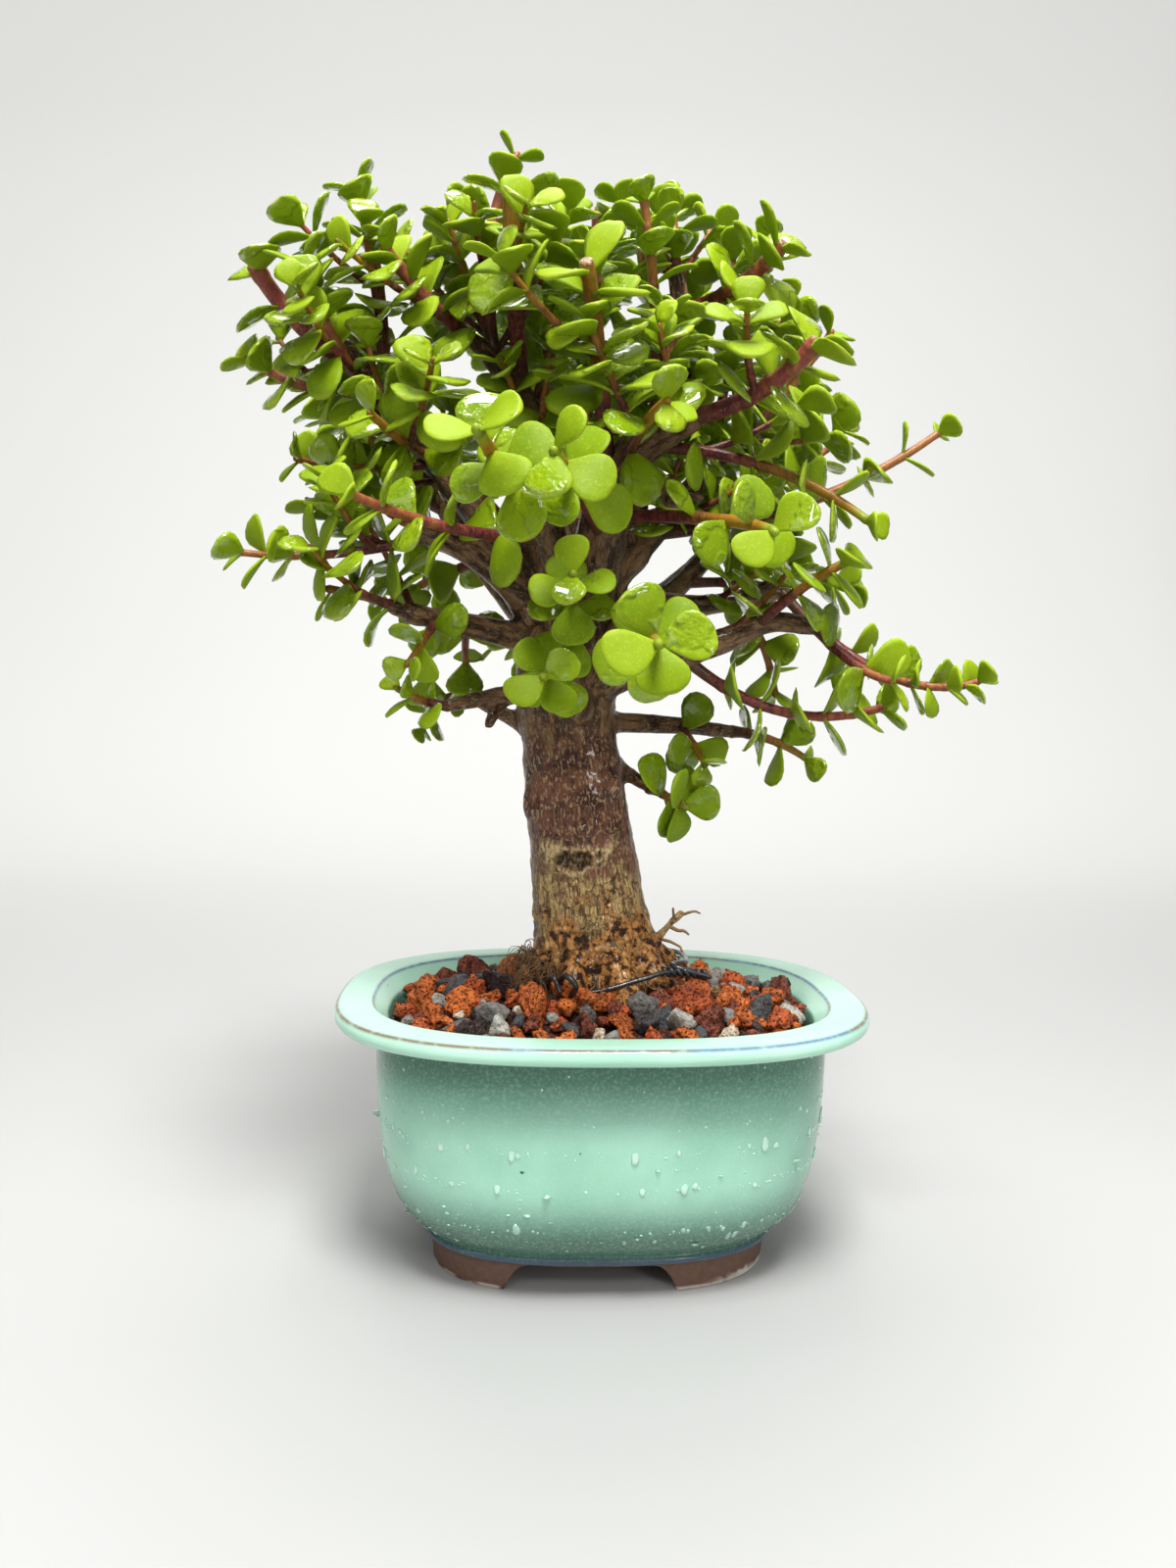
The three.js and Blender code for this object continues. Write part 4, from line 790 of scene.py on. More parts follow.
def fibre_finish():
    """Dry root fibre and moss: straw and brown."""
    finish, tree, shader = new_finish("dry_fibre", Specular_IOR_Level=0.2)
    streak = grain(tree, 500, 4)
    tone = mark(tree, "tone_share")
    pale = mix(tree, streak, (0.30, 0.17, 0.075), (0.52, 0.36, 0.19))
    dark = mix(tree, streak, (0.055, 0.027, 0.012), (0.19, 0.095, 0.038))
    dress(
        tree, shader, Base_Color=mix(tree, tone, dark, pale), Normal=bump(tree, streak, 0.0003, 0.5),
        Roughness=remap(tree, streak, 0.3, 0.7, 0.45, 0.75),
    )
    return finish


# ---------------------------------------------------------------- pot


def plan(height, inset, angle):
    """Points of the pot's plan, |x/a| to the power p plus |y/b| to the power p equals 1, `inset` inside."""
    c, s = np.cos(angle), np.sin(angle)
    height, inset = np.broadcast_arrays(*np.broadcast_arrays(height, inset, angle)[:2])
    x = (RIM_HALF_LENGTH - inset) * np.sign(c) * np.abs(c) ** (2 / PLAN_POWER)
    y = (RIM_HALF_WIDTH - inset) * np.sign(s) * np.abs(s) ** (2 / PLAN_POWER)
    return np.stack([x, y, height], -1)


def even_angles(count):
    """Angles that give points at even distances round the plan, measured on its middle ring."""
    fine = np.linspace(0, 2 * math.pi, 4001)
    ring = plan(np.zeros(4001), np.full(4001, 20.0), fine)
    run = np.concatenate([[0], np.cumsum(np.linalg.norm(np.diff(ring, axis=0), axis=1))])
    return np.interp(np.arange(count) / count * run[-1], run, fine)


def fine_profile(profile, steps):
    """A profile rounded by a Catmull-Rom curve through its corners, each stretch in `steps`."""
    corners = np.array([(z, inset, 0) for z, inset in profile], float)
    return catmull(corners, np.linspace(0, 1, (len(profile) - 1) * steps + 1))[:, :2]


def foot_cut(points):
    """How high the arch under the foot ring stands at each point: flat over the middle of each side, then
    down to the ground along a rounded slope."""

    def arch(distance, gap):
        slope = gap["foot"] - gap["crown"]
        share = np.clip((gap["foot"] - np.abs(distance - gap["middle"])) / slope, 0, 1)
        return gap["height"] * (1 - (1 - share) ** 2.4)

    x, y = points[..., 0], points[..., 1]
    return np.where(np.abs(y) > 18, arch(x, FRONT_GAP), 0) + np.where(np.abs(x) > 34, arch(y, END_GAP), 0)


def waved(points):
    """Points of the pot's wall moved in and out by up to GLAZE_WAVE, by smooth noise."""
    shift = GLAZE_WAVE * noise(points / (26, 26, 20), 5)
    reach = np.hypot(points[..., 0], points[..., 1])
    return points * np.stack([1 + shift / reach, 1 + shift / reach, np.ones_like(shift)], -1)


def make_pot(finish):
    """The bowl: its profile carried round the plan. The foot ring: its section, squeezed up over arches."""
    angle = even_angles(POT_COLUMNS)[None]
    profile = fine_profile(POT_PROFILE, 3)
    height, inset = profile[:, :1], profile[:, 1:]
    bowl = plan(height, inset, angle)
    outside = (height > 12) & (height < 75) & (inset < 30)
    bowl = np.where(outside[..., None], waved(bowl), bowl)
    thin = sum(np.exp(-((height - z) ** 2 + (inset - i) ** 2) / wide**2) for z, i, wide in THIN_GLAZE)
    skins = [grid_skin(bowl, {"thin": np.clip(thin, 0, 1), "bare": np.where(height < 9.25, 1.0, 0.0)})]
    section = fine_profile(FOOT_PROFILE, 3)
    ring = plan(section[:, :1], section[:, 1:], angle)
    cut = foot_cut(ring)
    ring[..., 2] = cut + ring[..., 2] * (FOOT_TOP - cut) / FOOT_TOP
    foot = grid_skin(ring[::-1], {"thin": 0, "bare": 1})
    rows, columns, _ = ring.shape
    inner = np.arange(columns)
    outer = inner + (rows - 1) * columns
    lid = np.stack([inner, np.roll(inner, -1), np.roll(outer, -1), outer], -1)
    foot["faces"] = np.vstack([foot["faces"][:(rows - 1) * columns], lid])
    foot["points"] = foot["points"][:-2]
    foot["marks"] = {name: values[:-2] for name, values in foot["marks"].items()}
    bore_drains(make_piece("celadon_pot", [*skins, foot], [finish], ["pot"]))


def make_drops(finish):
    """Water drops on the pot's wall: low domes of three rings, the larger ones pear-shaped where they sag.

    Each ring has the radius of the drop times a cosine and stands out by the sine, flattened."""
    profile = fine_profile(POT_PROFILE, 3)
    wall = profile[(profile[:, 0] > 12.7) & (profile[:, 0] < 74) & (profile[:, 1] < 30)]
    wall = wall[np.argsort(wall[:, 0])]
    at = lambda z, angle: waved(plan(z, np.interp(z, wall[:, 0], wall[:, 1]), angle))
    column = lambda values: values[:, None, None]
    generator = np.random.default_rng(23)
    turn = np.arange(8) * math.pi / 4
    along = np.sin(turn)[None, None]
    lean = np.array([0.08, 0.62, 1.15])[None, :, None]
    skins = []
    for size in DROPS:
        count = size["count"]
        low, high = size["height"]
        z = low + (high - low) * generator.random(count) ** 1.3
        angle = generator.random(count) * 2 * math.pi
        radius = generator.uniform(*size["radius"], count)
        sag = size["sag"] * generator.uniform(0.2, 1, count)
        base = at(z, angle)
        down = unit(at(z - 0.3, angle) - base)
        outward = unit(np.cross(at(z, angle + 0.01) - base, -down))
        side = np.cross(down, outward)
        wobble = 1 + 0.13 * generator.normal(size=(count, 1, 8))
        reach = column(radius) * np.cos(lean) * wobble
        stretch = 1 + column(sag) * np.where(along < 0, 1.5, 0.5)
        proud = column(radius) * DROP_DOME * np.sin(lean) * (1 + 0.4 * column(sag) * along)
        points = column(base) + (reach * np.cos(turn))[..., None] * column(side)
        points = points + (reach * along * stretch)[..., None] * column(down)
        points = points + np.broadcast_to(proud, reach.shape)[..., None] * column(outward)
        bottoms = base - 0.25 * outward
        tops = base + DROP_DOME * radius[:, None] * outward
        skins += [grid_skin(drop, poles=poles) for drop, *poles in zip(points, bottoms, tops)]
    make_piece("water_drops", skins, [finish])


def bore_drains(pot):
    """Cuts the two round drain holes through the floor."""
    angle = np.arange(BORE["corners"]) * 2 * math.pi / BORE["corners"]
    for x in (-DRAIN["x"], DRAIN["x"]):
        circle = np.stack([x + DRAIN["radius"] * np.cos(angle), DRAIN["radius"] * np.sin(angle)], -1)
        ends = (BORE["bottom"], BORE["top"])
        skin = grid_skin(np.stack([np.column_stack([circle, np.full(len(circle), z)]) for z in ends]))
        mesh = bpy.data.meshes.new("drain_bore")
        faces = [[int(i) for i in dict.fromkeys(face)] for face in skin["faces"]]
        mesh.from_pydata((skin["points"] * MM).tolist(), [], faces)
        bore = put("drain_bore", mesh)
        cut = pot.modifiers.new("drain", "BOOLEAN")
        cut.operation = "DIFFERENCE"
        cut.solver = "EXACT"
        cut.object = bore
        depsgraph = bpy.context.evaluated_depsgraph_get()
        shaped = bpy.data.meshes.new_from_object(pot.evaluated_get(depsgraph))
        pot.modifiers.clear()
        old, pot.data = pot.data, shaped
        bpy.data.meshes.remove(old)
        bpy.data.objects.remove(bore)
        bpy.data.meshes.remove(mesh)
        shaped.name = pot.name


def make_nets(finish):
    """A square net over each drain hole: thin bars crossing, their ends on a frame."""
    half = NET["side"] / 2
    edge = half - NET["bar"] / 2
    z = FLOOR_TOP + NET["above_floor"] + NET["thickness"] / 2
    for name, x in (("left", -DRAIN["x"]), ("right", DRAIN["x"])):
        skins = []
        for offset in np.concatenate([np.arange(-4, 5) * NET["pitch"], [-edge, edge]]):
            for turn in (False, True):
                ends = np.array([[0.3 - half, offset, z], [half - 0.3, offset, z]])
                if turn:
                    ends = ends[:, [1, 0, 2]]
                line = ends[0] + (ends[1] - ends[0]) * np.linspace(0, 1, 3)[:, None]
                line[:, 0] += x
                skins.append(tube(line, 0.5 * NET["bar"], 6, ends="flat"))
        make_piece(f"drain_mesh_{name}", skins, [finish], [f"drain_net_{name}"])


# ---------------------------------------------------------------- wood

WOOD_CELL = 0.85
WOOD_BLEND = 1.3
KNOTS = [  # centre and radius of swellings, cut stubs and scars on the wood
    ((-21.9, 0, 136.5), 2.3), ((-21.2, 1, 140), 1.8), ((2.6, -7, 143), 2.2), ((-22, -2, 172), 4.5),
    ((-20, -6, 186), 4), ((-2, -9, 176), 4.2), ((3, -8, 189), 4), ((17, -20, 228), 3.4),
    ((-8, -11, 166), 3.6), ((-8, -13, 198), 3.4),
]
STUBS = [  # short cut twigs: root, tip, radius
    ((-50, -22, 215), (-55, -26, 216), 2.6), ((-30, -6, 207), (-37, -14, 216), 2.6),
    ((16, -20, 228), (23, -30, 226), 1.5), ((-32, -6, 168), (-35, -12, 162), 1.7),
    ((-56, -20, 193), (-62, -24, 194), 1.7), ((40, 8, 236), (46, 4, 240), 1.6),
    ((20, 16, 268), (27, 6, 272), 1.5), ((-2, -14, 235), (-9, -24, 240), 1.6),
    ((22, -18, 184), (27, -26, 190), 1.5), ((46, 14, 203), (53, 6, 208), 1.7),
]
# Old pruning wound on the front: its middle, and the half width and half height of its lip of bark.
SCAR = {"middle": (-9.0, -11.5, 122.5), "wide": 8.2, "high": 3.3}
DRY_SPURS = [  # dry roots in the air: path and radius
    (DRY_ROOT, 1.0), (DRY_ROOT_SPUR, 0.6), ([(20, -6, 101), (22, -5, 104), (21, -8, 107)], 0.5),
    ([(17, -5, 97), (22, -9, 96), (24, -13, 95)], 0.5), ([(24, -6, 105), (28, -7, 106), (30, -6, 105)], 0.45),
]
ROOTLETS = 190
MOSSY_ROOTLETS = 110  # the first of them, left of the foot: thin, dark and raised


def chain_of(path, radii, count):
    """A limb as a chain of tapered rods along its curve."""
    share = np.linspace(0, 1, count + 1)
    points = catmull(path, share)
    radius = np.interp(share, np.linspace(0, 1, len(radii)), radii)
    return {"points": points, "radius": radius, "ribs": 0.0}


def wood_chains():
    """Every grown piece of the wood: trunk, limbs, roots, knots and stubs."""
    trunk = chain_of(TRUNK_PATH, [row[3] for row in TRUNK], 20)
    trunk["ribs"] = 1.0
    chains = [trunk, *(chain_of(path, radii, 14) for path, radii in LIMBS.values())]
    for bearing, reach, radius in ROOTS:
        out = np.array([math.cos(math.radians(bearing)), math.sin(math.radians(bearing))])
        at = lambda distance, z: (FOOT_X + out[0] * distance, FOOT_Y + out[1] * distance, z)
        path = [at(9, 97), at(reach * 0.62, 89), at(reach * 0.86, 83), at(reach, 76)]
        chains.append(chain_of(path, (radius, radius * 0.9, radius * 0.5), 8))
    for centre, radius in KNOTS:
        chains.append(chain_of([centre, np.add(centre, (0.4, 0, 0.8))], (radius, radius), 1))
    for root, tip, radius in STUBS:
        chains.append(chain_of([root, tip], (radius * 1.15, radius * 0.95), 3))
    chains.append(chain_of(DRY_ROOT, (1.5, 1.1), 8))
    return chains


def near_chain(chain, points):
    """For each point: its distance from a chain's skin, and its place along and across the chain."""
    a, b = chain["points"][:-1], chain["points"][1:]
    best = np.full(len(points), np.inf)
    along = np.zeros(len(points))
    across = np.zeros((len(points), 3))
    run = np.concatenate([[0], np.cumsum(np.linalg.norm(b - a, axis=1))])
    for k in range(len(a)):
        line = b[k] - a[k]
        share = np.clip((points - a[k]) @ line / (line @ line), 0, 1)
        offset = points - a[k] - share[:, None] * line
        start, end = chain["radius"][k:k + 2]
        gap = np.linalg.norm(offset, axis=1) - (start + share * (end - start))
        nearer = gap < best
        best = np.where(nearer, gap, best)
        along = np.where(nearer, run[k] + share * (run[k + 1] - run[k]), along)
        across[nearer] = offset[nearer]
    if chain["ribs"]:
        angle = np.arctan2(across[:, 1], across[:, 0])
        ribs = 0.035 * np.cos(2 * angle + 0.6) + 0.03 * np.cos(3 * angle + 0.02 * along)
        best -= 15 * ribs
    return best, along, across


def wood_field(chains):
    """Blended distance to all the chains on a grid: minus k times the log of the sum of exp(-d/k)."""
    lowest = np.min([(c["points"] - c["radius"].max()).min(0) for c in chains], 0) - 3
    highest = np.max([(c["points"] + c["radius"].max()).max(0) for c in chains], 0) + 3
    shape = np.ceil((highest - lowest) / WOOD_CELL).astype(int) + 1
    gathered = np.zeros(shape, np.float32)
    for chain in chains:
        reach = chain["radius"].max() + 4 * WOOD_BLEND
        start = np.floor((chain["points"].min(0) - reach - lowest) / WOOD_CELL).astype(int)
        stop = np.ceil((chain["points"].max(0) + reach - lowest) / WOOD_CELL).astype(int) + 1
        start, stop = np.maximum(start, 0), np.minimum(stop, shape)
        axis_cells = [np.arange(start[i], stop[i]) for i in range(3)]
        cells = np.stack(np.meshgrid(*axis_cells, indexing="ij"), -1).reshape(-1, 3)
        gap, _, _ = near_chain(chain, lowest + cells * WOOD_CELL)
        weight = np.exp(-np.clip(gap, -30, 60) / WOOD_BLEND).reshape(stop - start)
        gathered[tuple(slice(start[i], stop[i]) for i in range(3))] += weight.astype(np.float32)
    return -WOOD_BLEND * np.log(gathered + 1e-12), lowest


def net_skin(field, lowest, cell):
    """The zero surface of a field: a point in each cell that it crosses, at the mean of its crossings of
    the cell's edges, and a face round each grid edge that it crosses."""
    inside = field < 0
    size = np.array(field.shape) - 1
    corners = np.array(list(itertools.product((0, 1), repeat=3)))
    parts = [inside[tuple(slice(c[i], c[i] + size[i]) for i in range(3))] for c in corners]
    some, every = np.logical_or.reduce(parts), np.logical_and.reduce(parts)
    cells = np.argwhere(some & ~every)
    index = np.full(size, -1, np.int64)
    index[tuple(cells.T)] = np.arange(len(cells))
    values = np.stack([field[tuple((cells + c).T)] for c in corners], 1)
    total = np.zeros((len(cells), 3))
    count = np.zeros(len(cells))
    for i, j in itertools.combinations(range(8), 2):
        if np.abs(corners[i] - corners[j]).sum() != 1:
            continue
        crossed = (values[:, i] < 0) != (values[:, j] < 0)
        share = np.where(crossed, values[:, i] / np.where(crossed, values[:, i] - values[:, j], 1), 0)
        total += crossed[:, None] * (corners[i] + share[:, None] * (corners[j] - corners[i]))
        count += crossed
    points = lowest + cell * (cells + total / count[:, None])
    faces = []
    for axis in range(3):
        u, v = np.eye(3, dtype=int)[(axis + 1) % 3], np.eye(3, dtype=int)[(axis + 2) % 3]
        ahead = np.roll(inside, -1, axis)
        crossing = inside != ahead
        crossing[tuple(slice(-1, None) if i == axis else slice(None) for i in range(3))] = False
        starts = np.argwhere(crossing)
        starts = starts[((starts - u - v) >= 0).all(1) & (starts < size).all(1)]
        around = [index[tuple((starts - shift).T)] for shift in (0 * u, u, u + v, v)]
        quads = np.stack(around, 1)
        outward = inside[tuple(starts.T)]
        faces.append(np.where(outward[:, None], quads, quads[:, ::-1]))
    return points, np.vstack(faces)


def relaxed(points, faces, rounds, pull=0.5):
    """Points drawn towards the mean of their neighbours, a few times over."""
    pairs = np.vstack([faces[:, [k, (k + 1) % 4]] for k in range(4)])
    count = np.bincount(pairs[:, 0], minlength=len(points))[:, None]
    for _ in range(rounds):
        total = np.stack([
            np.bincount(pairs[:, 0], points[pairs[:, 1], i], len(points)) for i in range(3)
        ], 1)
        points = points + pull * (total / np.maximum(count, 1) - points)
    return points


def normals(points, faces):
    """The mean normal of the faces round each point."""
    a, b = points[faces[:, 2]] - points[faces[:, 0]], points[faces[:, 3]] - points[faces[:, 1]]
    facing = np.cross(a, b)
    total = np.zeros_like(points)
    for k in range(4):
        for i in range(3):
            total[:, i] += np.bincount(faces[:, k], facing[:, i], len(points))
    return unit(total)


def wood_places(chains, points):
    """For each point its place round and along the nearest chain, and that chain's greatest radius."""
    best = np.full(len(points), np.inf)
    local = np.zeros((len(points), 3))
    girth = np.zeros(len(points))
    for chain in chains:
        reach = chain["radius"].max() + 3
        above = points > chain["points"].min(0) - reach
        below = points < chain["points"].max(0) + reach
        near = np.flatnonzero((above & below).all(1))
        gap, along, across = near_chain(chain, points[near])
        chord = chain["points"][-1] - chain["points"][0]
        side, other = square_to(unit(chord), least_axis(chord))
        nearer = gap < best[near]
        chosen = near[nearer]
        best[chosen] = gap[nearer]
        local[chosen] = np.stack([across @ side, across @ other, along + 31 * side.sum()], 1)[nearer]
        girth[chosen] = chain["radius"].max()
    return local, girth


def make_wood(finish):
    """The tree's wood: a net over the blended distance, then bark relief pushed along the normals."""
    chains = wood_chains()
    field, lowest = wood_field(chains)
    points, faces = net_skin(field, lowest, WOOD_CELL)
    points = relaxed(points, faces, 3)
    local, girth = wood_places(chains, points)
    low = np.clip((112 - points[:, 2]) / 22, 0, 1)
    wrinkles = rough(local / (2.4, 2.4, 6.5), 3, 3) * 0.34
    lumps = rough(points / 5.2, 21, 3)
    rings = np.maximum(0, noise(local / (9, 9, 1.5), 9)) * 0.22
    plates = np.maximum(0, noise(points / (3.4, 3.4, 4.5), 14) - 0.05)
    relief = np.clip(girth / 14, 0.35, 1) * (wrinkles + rings + 0.28 * lumps)
    relief = relief + low * (1.1 * plates + 0.7 * lumps)
    x, y, z = (points - np.array(SCAR["middle"])).T
    smile = z + 1.2 - 0.035 * x**2
    ring = np.sqrt((x / SCAR["wide"]) ** 2 + (smile / SCAR["high"]) ** 2) + 0.3 * noise(points / 1.7, 33)
    lip = np.exp(-((ring - 1) / 0.2) ** 2) * (y < 6)
    hollow = np.exp(-((ring / 0.78) ** 6)) * (y < 6)
    relief = relief + 1.1 * lip - 2.2 * hollow
    marks = {"fibre": local * MM, "scar": np.clip(lip, 0, 1), "hole": np.clip(1.3 * hollow, 0, 1)}
    points = points + normals(points, faces) * relief[:, None]
    skin = {"points": points, "faces": faces, "finish": 0, "marks": marks}
    make_piece("trunk_and_limbs", [skin], [finish], ["trunk"])


def make_fibres(finish):
    """Dry rootlets over the grit and round the foot: thin tubes along bent paths."""
    roll = dice(71)
    skins = []
    share = np.linspace(0, 1, 14)
    for path, radius in DRY_SPURS:
        line = catmull(path, share)
        line += 0.5 * np.stack([noise(line / 2.5 + k * 9, 40 + k) for k in range(3)], 1)
        skins.append(tube(line, radius * (1.15 - 0.5 * share), 6, {"tone_share": 0.35 + 0.3 * share}))
    share = np.linspace(0, 1, 12)
    for k in range(ROOTLETS):
        mossy = k < MOSSY_ROOTLETS
        first, sweep = (178, 62) if mossy else (150, 250)
        bearing = math.radians(first + sweep * next(roll))
        start = 17 + 6 * next(roll)
        length = 4 + 12 * next(roll) ** 2
        heading = bearing + (next(roll) - 0.5) * 6 * share
        radius = 0.13 + (0.1 if mossy else 0.26) * next(roll) ** 2
        steps = np.stack([np.cos(heading), np.sin(heading)], 1) * length / 11
        flat = np.cumsum(np.vstack([[[0, 0]], steps[:-1]]), 0)
        x = FOOT_X + start * math.cos(bearing) + flat[:, 0]
        y = FOOT_Y + start * math.sin(bearing) + flat[:, 1]
        lift = 3 + (9 if mossy else 4) * next(roll) * np.sin(math.pi * share) + 3 * (1 - share) * next(roll)
        line = np.stack([x, y, bed_height(x, y) + lift], 1)
        line += 1.3 * np.stack([noise(line / 2.6 + 5 * i + k, 80 + i) for i in range(3)], 1)
        tone = (0.35 if mossy else 0.9) * next(roll)
        skins.append(tube(line, radius * (1.1 - 0.6 * share), 5, {"tone_share": np.full(12, tone)}))
    make_piece("dry_rootlets", skins, [finish])


# ---------------------------------------------------------------- grit


def bed_height(x, y):
    """Height of the grit: a low dome against the trunk."""
    wide, deep = RIM_HALF_LENGTH - GRIT["inset"], RIM_HALF_WIDTH - GRIT["inset"]
    share = np.minimum(1, np.hypot(x / wide, y / deep))
    return GRIT["wall_top"] + (GRIT["crown_top"] - GRIT["wall_top"]) * (1 - share**1.6)


STONE_KINDS = {  # share of the stones, colour, how porous
    "orange": (0.27, (0.68, 0.165, 0.030), 1.0), "red": (0.20, (0.52, 0.105, 0.028), 1.0),
    "wine": (0.14, (0.26, 0.066, 0.036), 0.95), "black": (0.06, (0.045, 0.032, 0.030), 0.6),
    "slate": (0.10, (0.075, 0.083, 0.090), 0.25), "grey": (0.11, (0.21, 0.21, 0.20), 0.2),
    "pale": (0.08, (0.42, 0.42, 0.37), 0.25), "cream": (0.03, (0.74, 0.64, 0.47), 0.5),
    "tan": (0.01, (0.40, 0.235, 0.095), 0.8),
}
# Stones in sight over the front of the lip: x, y, radius, kind.
STONES_IN_FRONT = [
    (-30, -7, 5.2, "black"), (-7, -15, 4.2, "slate"), (-49, -9, 3.3, "pale"), (-42, -16, 4.5, "orange"),
    (-39, -6, 3.8, "red"), (-20, -27, 4.8, "orange"), (-10, -21, 5.6, "orange"), (0, -23, 4.4, "orange"),
    (-32, -26, 5.0, "grey"), (-30, -34, 3.2, "pale"), (-21, -33, 3.2, "wine"), (-6, -31, 3.0, "grey"),
    (2, -16, 4.6, "tan"), (9, -14, 3.6, "tan"), (16, -20, 4.6, "wine"), (26, -19, 6.1, "red"),
    (38, -12, 4.8, "orange"), (52, -4, 5.2, "orange"), (46, -18, 3.8, "slate"), (59, 17, 3.9, "black"),
    (54, 27, 2.6, "cream"), (50, 16, 3.6, "grey"), (58, 6, 5.0, "wine"), (10, -25, 4.6, "grey"),
    (16, -31, 3.3, "slate"), (21, -33, 4.2, "pale"), (29, -32, 4.4, "wine"), (35, -35, 2.8, "cream"),
    (40, -27, 4.2, "orange"), (50, -24, 4.1, "red"), (-55, -8, 5.2, "orange"), (-56, 12, 4.0, "red"),
    (-50, 24, 4.4, "wine"), (-44, 12, 3.4, "black"), (-42, -29, 3.3, "grey"), (-49, -20, 3.8, "orange"),
    (-13, -35, 3.2, "red"), (4, -33, 3.2, "orange"), (42, -35, 3.0, "wine"), (30, -8, 3.6, "orange"),
    (-37, 6, 3.4, "slate"), (42, 2, 3.8, "red"),
]


def ball(rounds):
    """Points and triangles of an icosahedron split a number of times and blown up to a ball."""
    g = (1 + math.sqrt(5)) / 2
    points = [
        (-1, g, 0), (1, g, 0), (-1, -g, 0), (1, -g, 0), (0, -1, g), (0, 1, g), (0, -1, -g), (0, 1, -g),
        (g, 0, -1), (g, 0, 1), (-g, 0, -1), (-g, 0, 1),
    ]
    faces = [
        (0, 11, 5), (0, 5, 1), (0, 1, 7), (0, 7, 10), (0, 10, 11), (1, 5, 9), (5, 11, 4), (11, 10, 2),
        (10, 7, 6), (7, 1, 8), (3, 9, 4), (3, 4, 2), (3, 2, 6), (3, 6, 8), (3, 8, 9), (4, 9, 5), (2, 4, 11),
        (6, 2, 10), (8, 6, 7), (9, 8, 1),
    ]
    points, faces = unit(np.array(points, float)), np.array(faces)
    for _ in range(rounds):
        edges = np.sort(np.vstack([faces[:, [0, 1]], faces[:, [1, 2]], faces[:, [2, 0]]]), 1)
        single, where = np.unique(edges, axis=0, return_inverse=True)
        ab, bc, ca = where.reshape(3, -1) + len(points)
        points = np.vstack([points, unit(points[single].mean(1))])
        a, b, c = faces.T
        faces = np.vstack([np.stack(f, 1) for f in ((a, ab, ca), (b, bc, ab), (c, ca, bc), (ab, bc, ca))])
    return points, faces


# Scattered stones: how many, smallest and largest radius, how far apart, how deep in the bed, and how
# often their ball is split.
STONE_SIZES = [
    {"count": 62, "radius": (3.4, 6.0), "apart": 0.82, "sunk": 0.22, "splits": 3},
    {"count": 160, "radius": (1.8, 3.2), "apart": 0.6, "sunk": -0.15, "splits": 1},
]
FRONT_STONE_SCALE = 1.12
STONE_CUTS = 12
STONE_PITS = 46


def scatter_stones():
    """Places of the stones: those in front, then large ones, each kept apart from those placed, then
    small ones between."""
    roll = dice(29)
    lifted = lambda x, y, radius, sunk: float(bed_height(x, y)) + (0.45 - sunk) * radius
    placed = []
    for x, y, radius, _ in STONES_IN_FRONT:
        radius *= FRONT_STONE_SCALE
        placed.append((x, y, lifted(x, y, radius, 0.15), radius))
    groups = [np.array(placed)]
    for sizes in STONE_SIZES:
        smallest, largest = sizes["radius"]
        goal = len(placed) + sizes["count"]
        for _ in range(9000):
            if len(placed) == goal:
                break
            radius = smallest + (largest - smallest) * next(roll) ** 1.4
            x = (2 * next(roll) - 1) * RIM_HALF_LENGTH
            y = (2 * next(roll) - 1) * RIM_HALF_WIDTH
            wide = RIM_HALF_LENGTH - GRIT["inset"] - 0.9 * radius
            deep = RIM_HALF_WIDTH - GRIT["inset"] - 0.9 * radius
            if abs(x / wide) ** PLAN_POWER + abs(y / deep) ** PLAN_POWER > 1:
                continue
            if math.hypot(x - FOOT_X, y - FOOT_Y) < FOOT_RADIUS + 0.5 * radius:
                continue
            others = np.array(placed)
            apart = sizes["apart"] * (radius + others[:, 3])
            if (np.hypot(x - others[:, 0], y - others[:, 1]) < apart).any():
                continue
            placed.append((x, y, lifted(x, y, radius, sizes["sunk"]), radius))
        groups.append(np.array(placed[goal - sizes["count"]:]))
    return groups


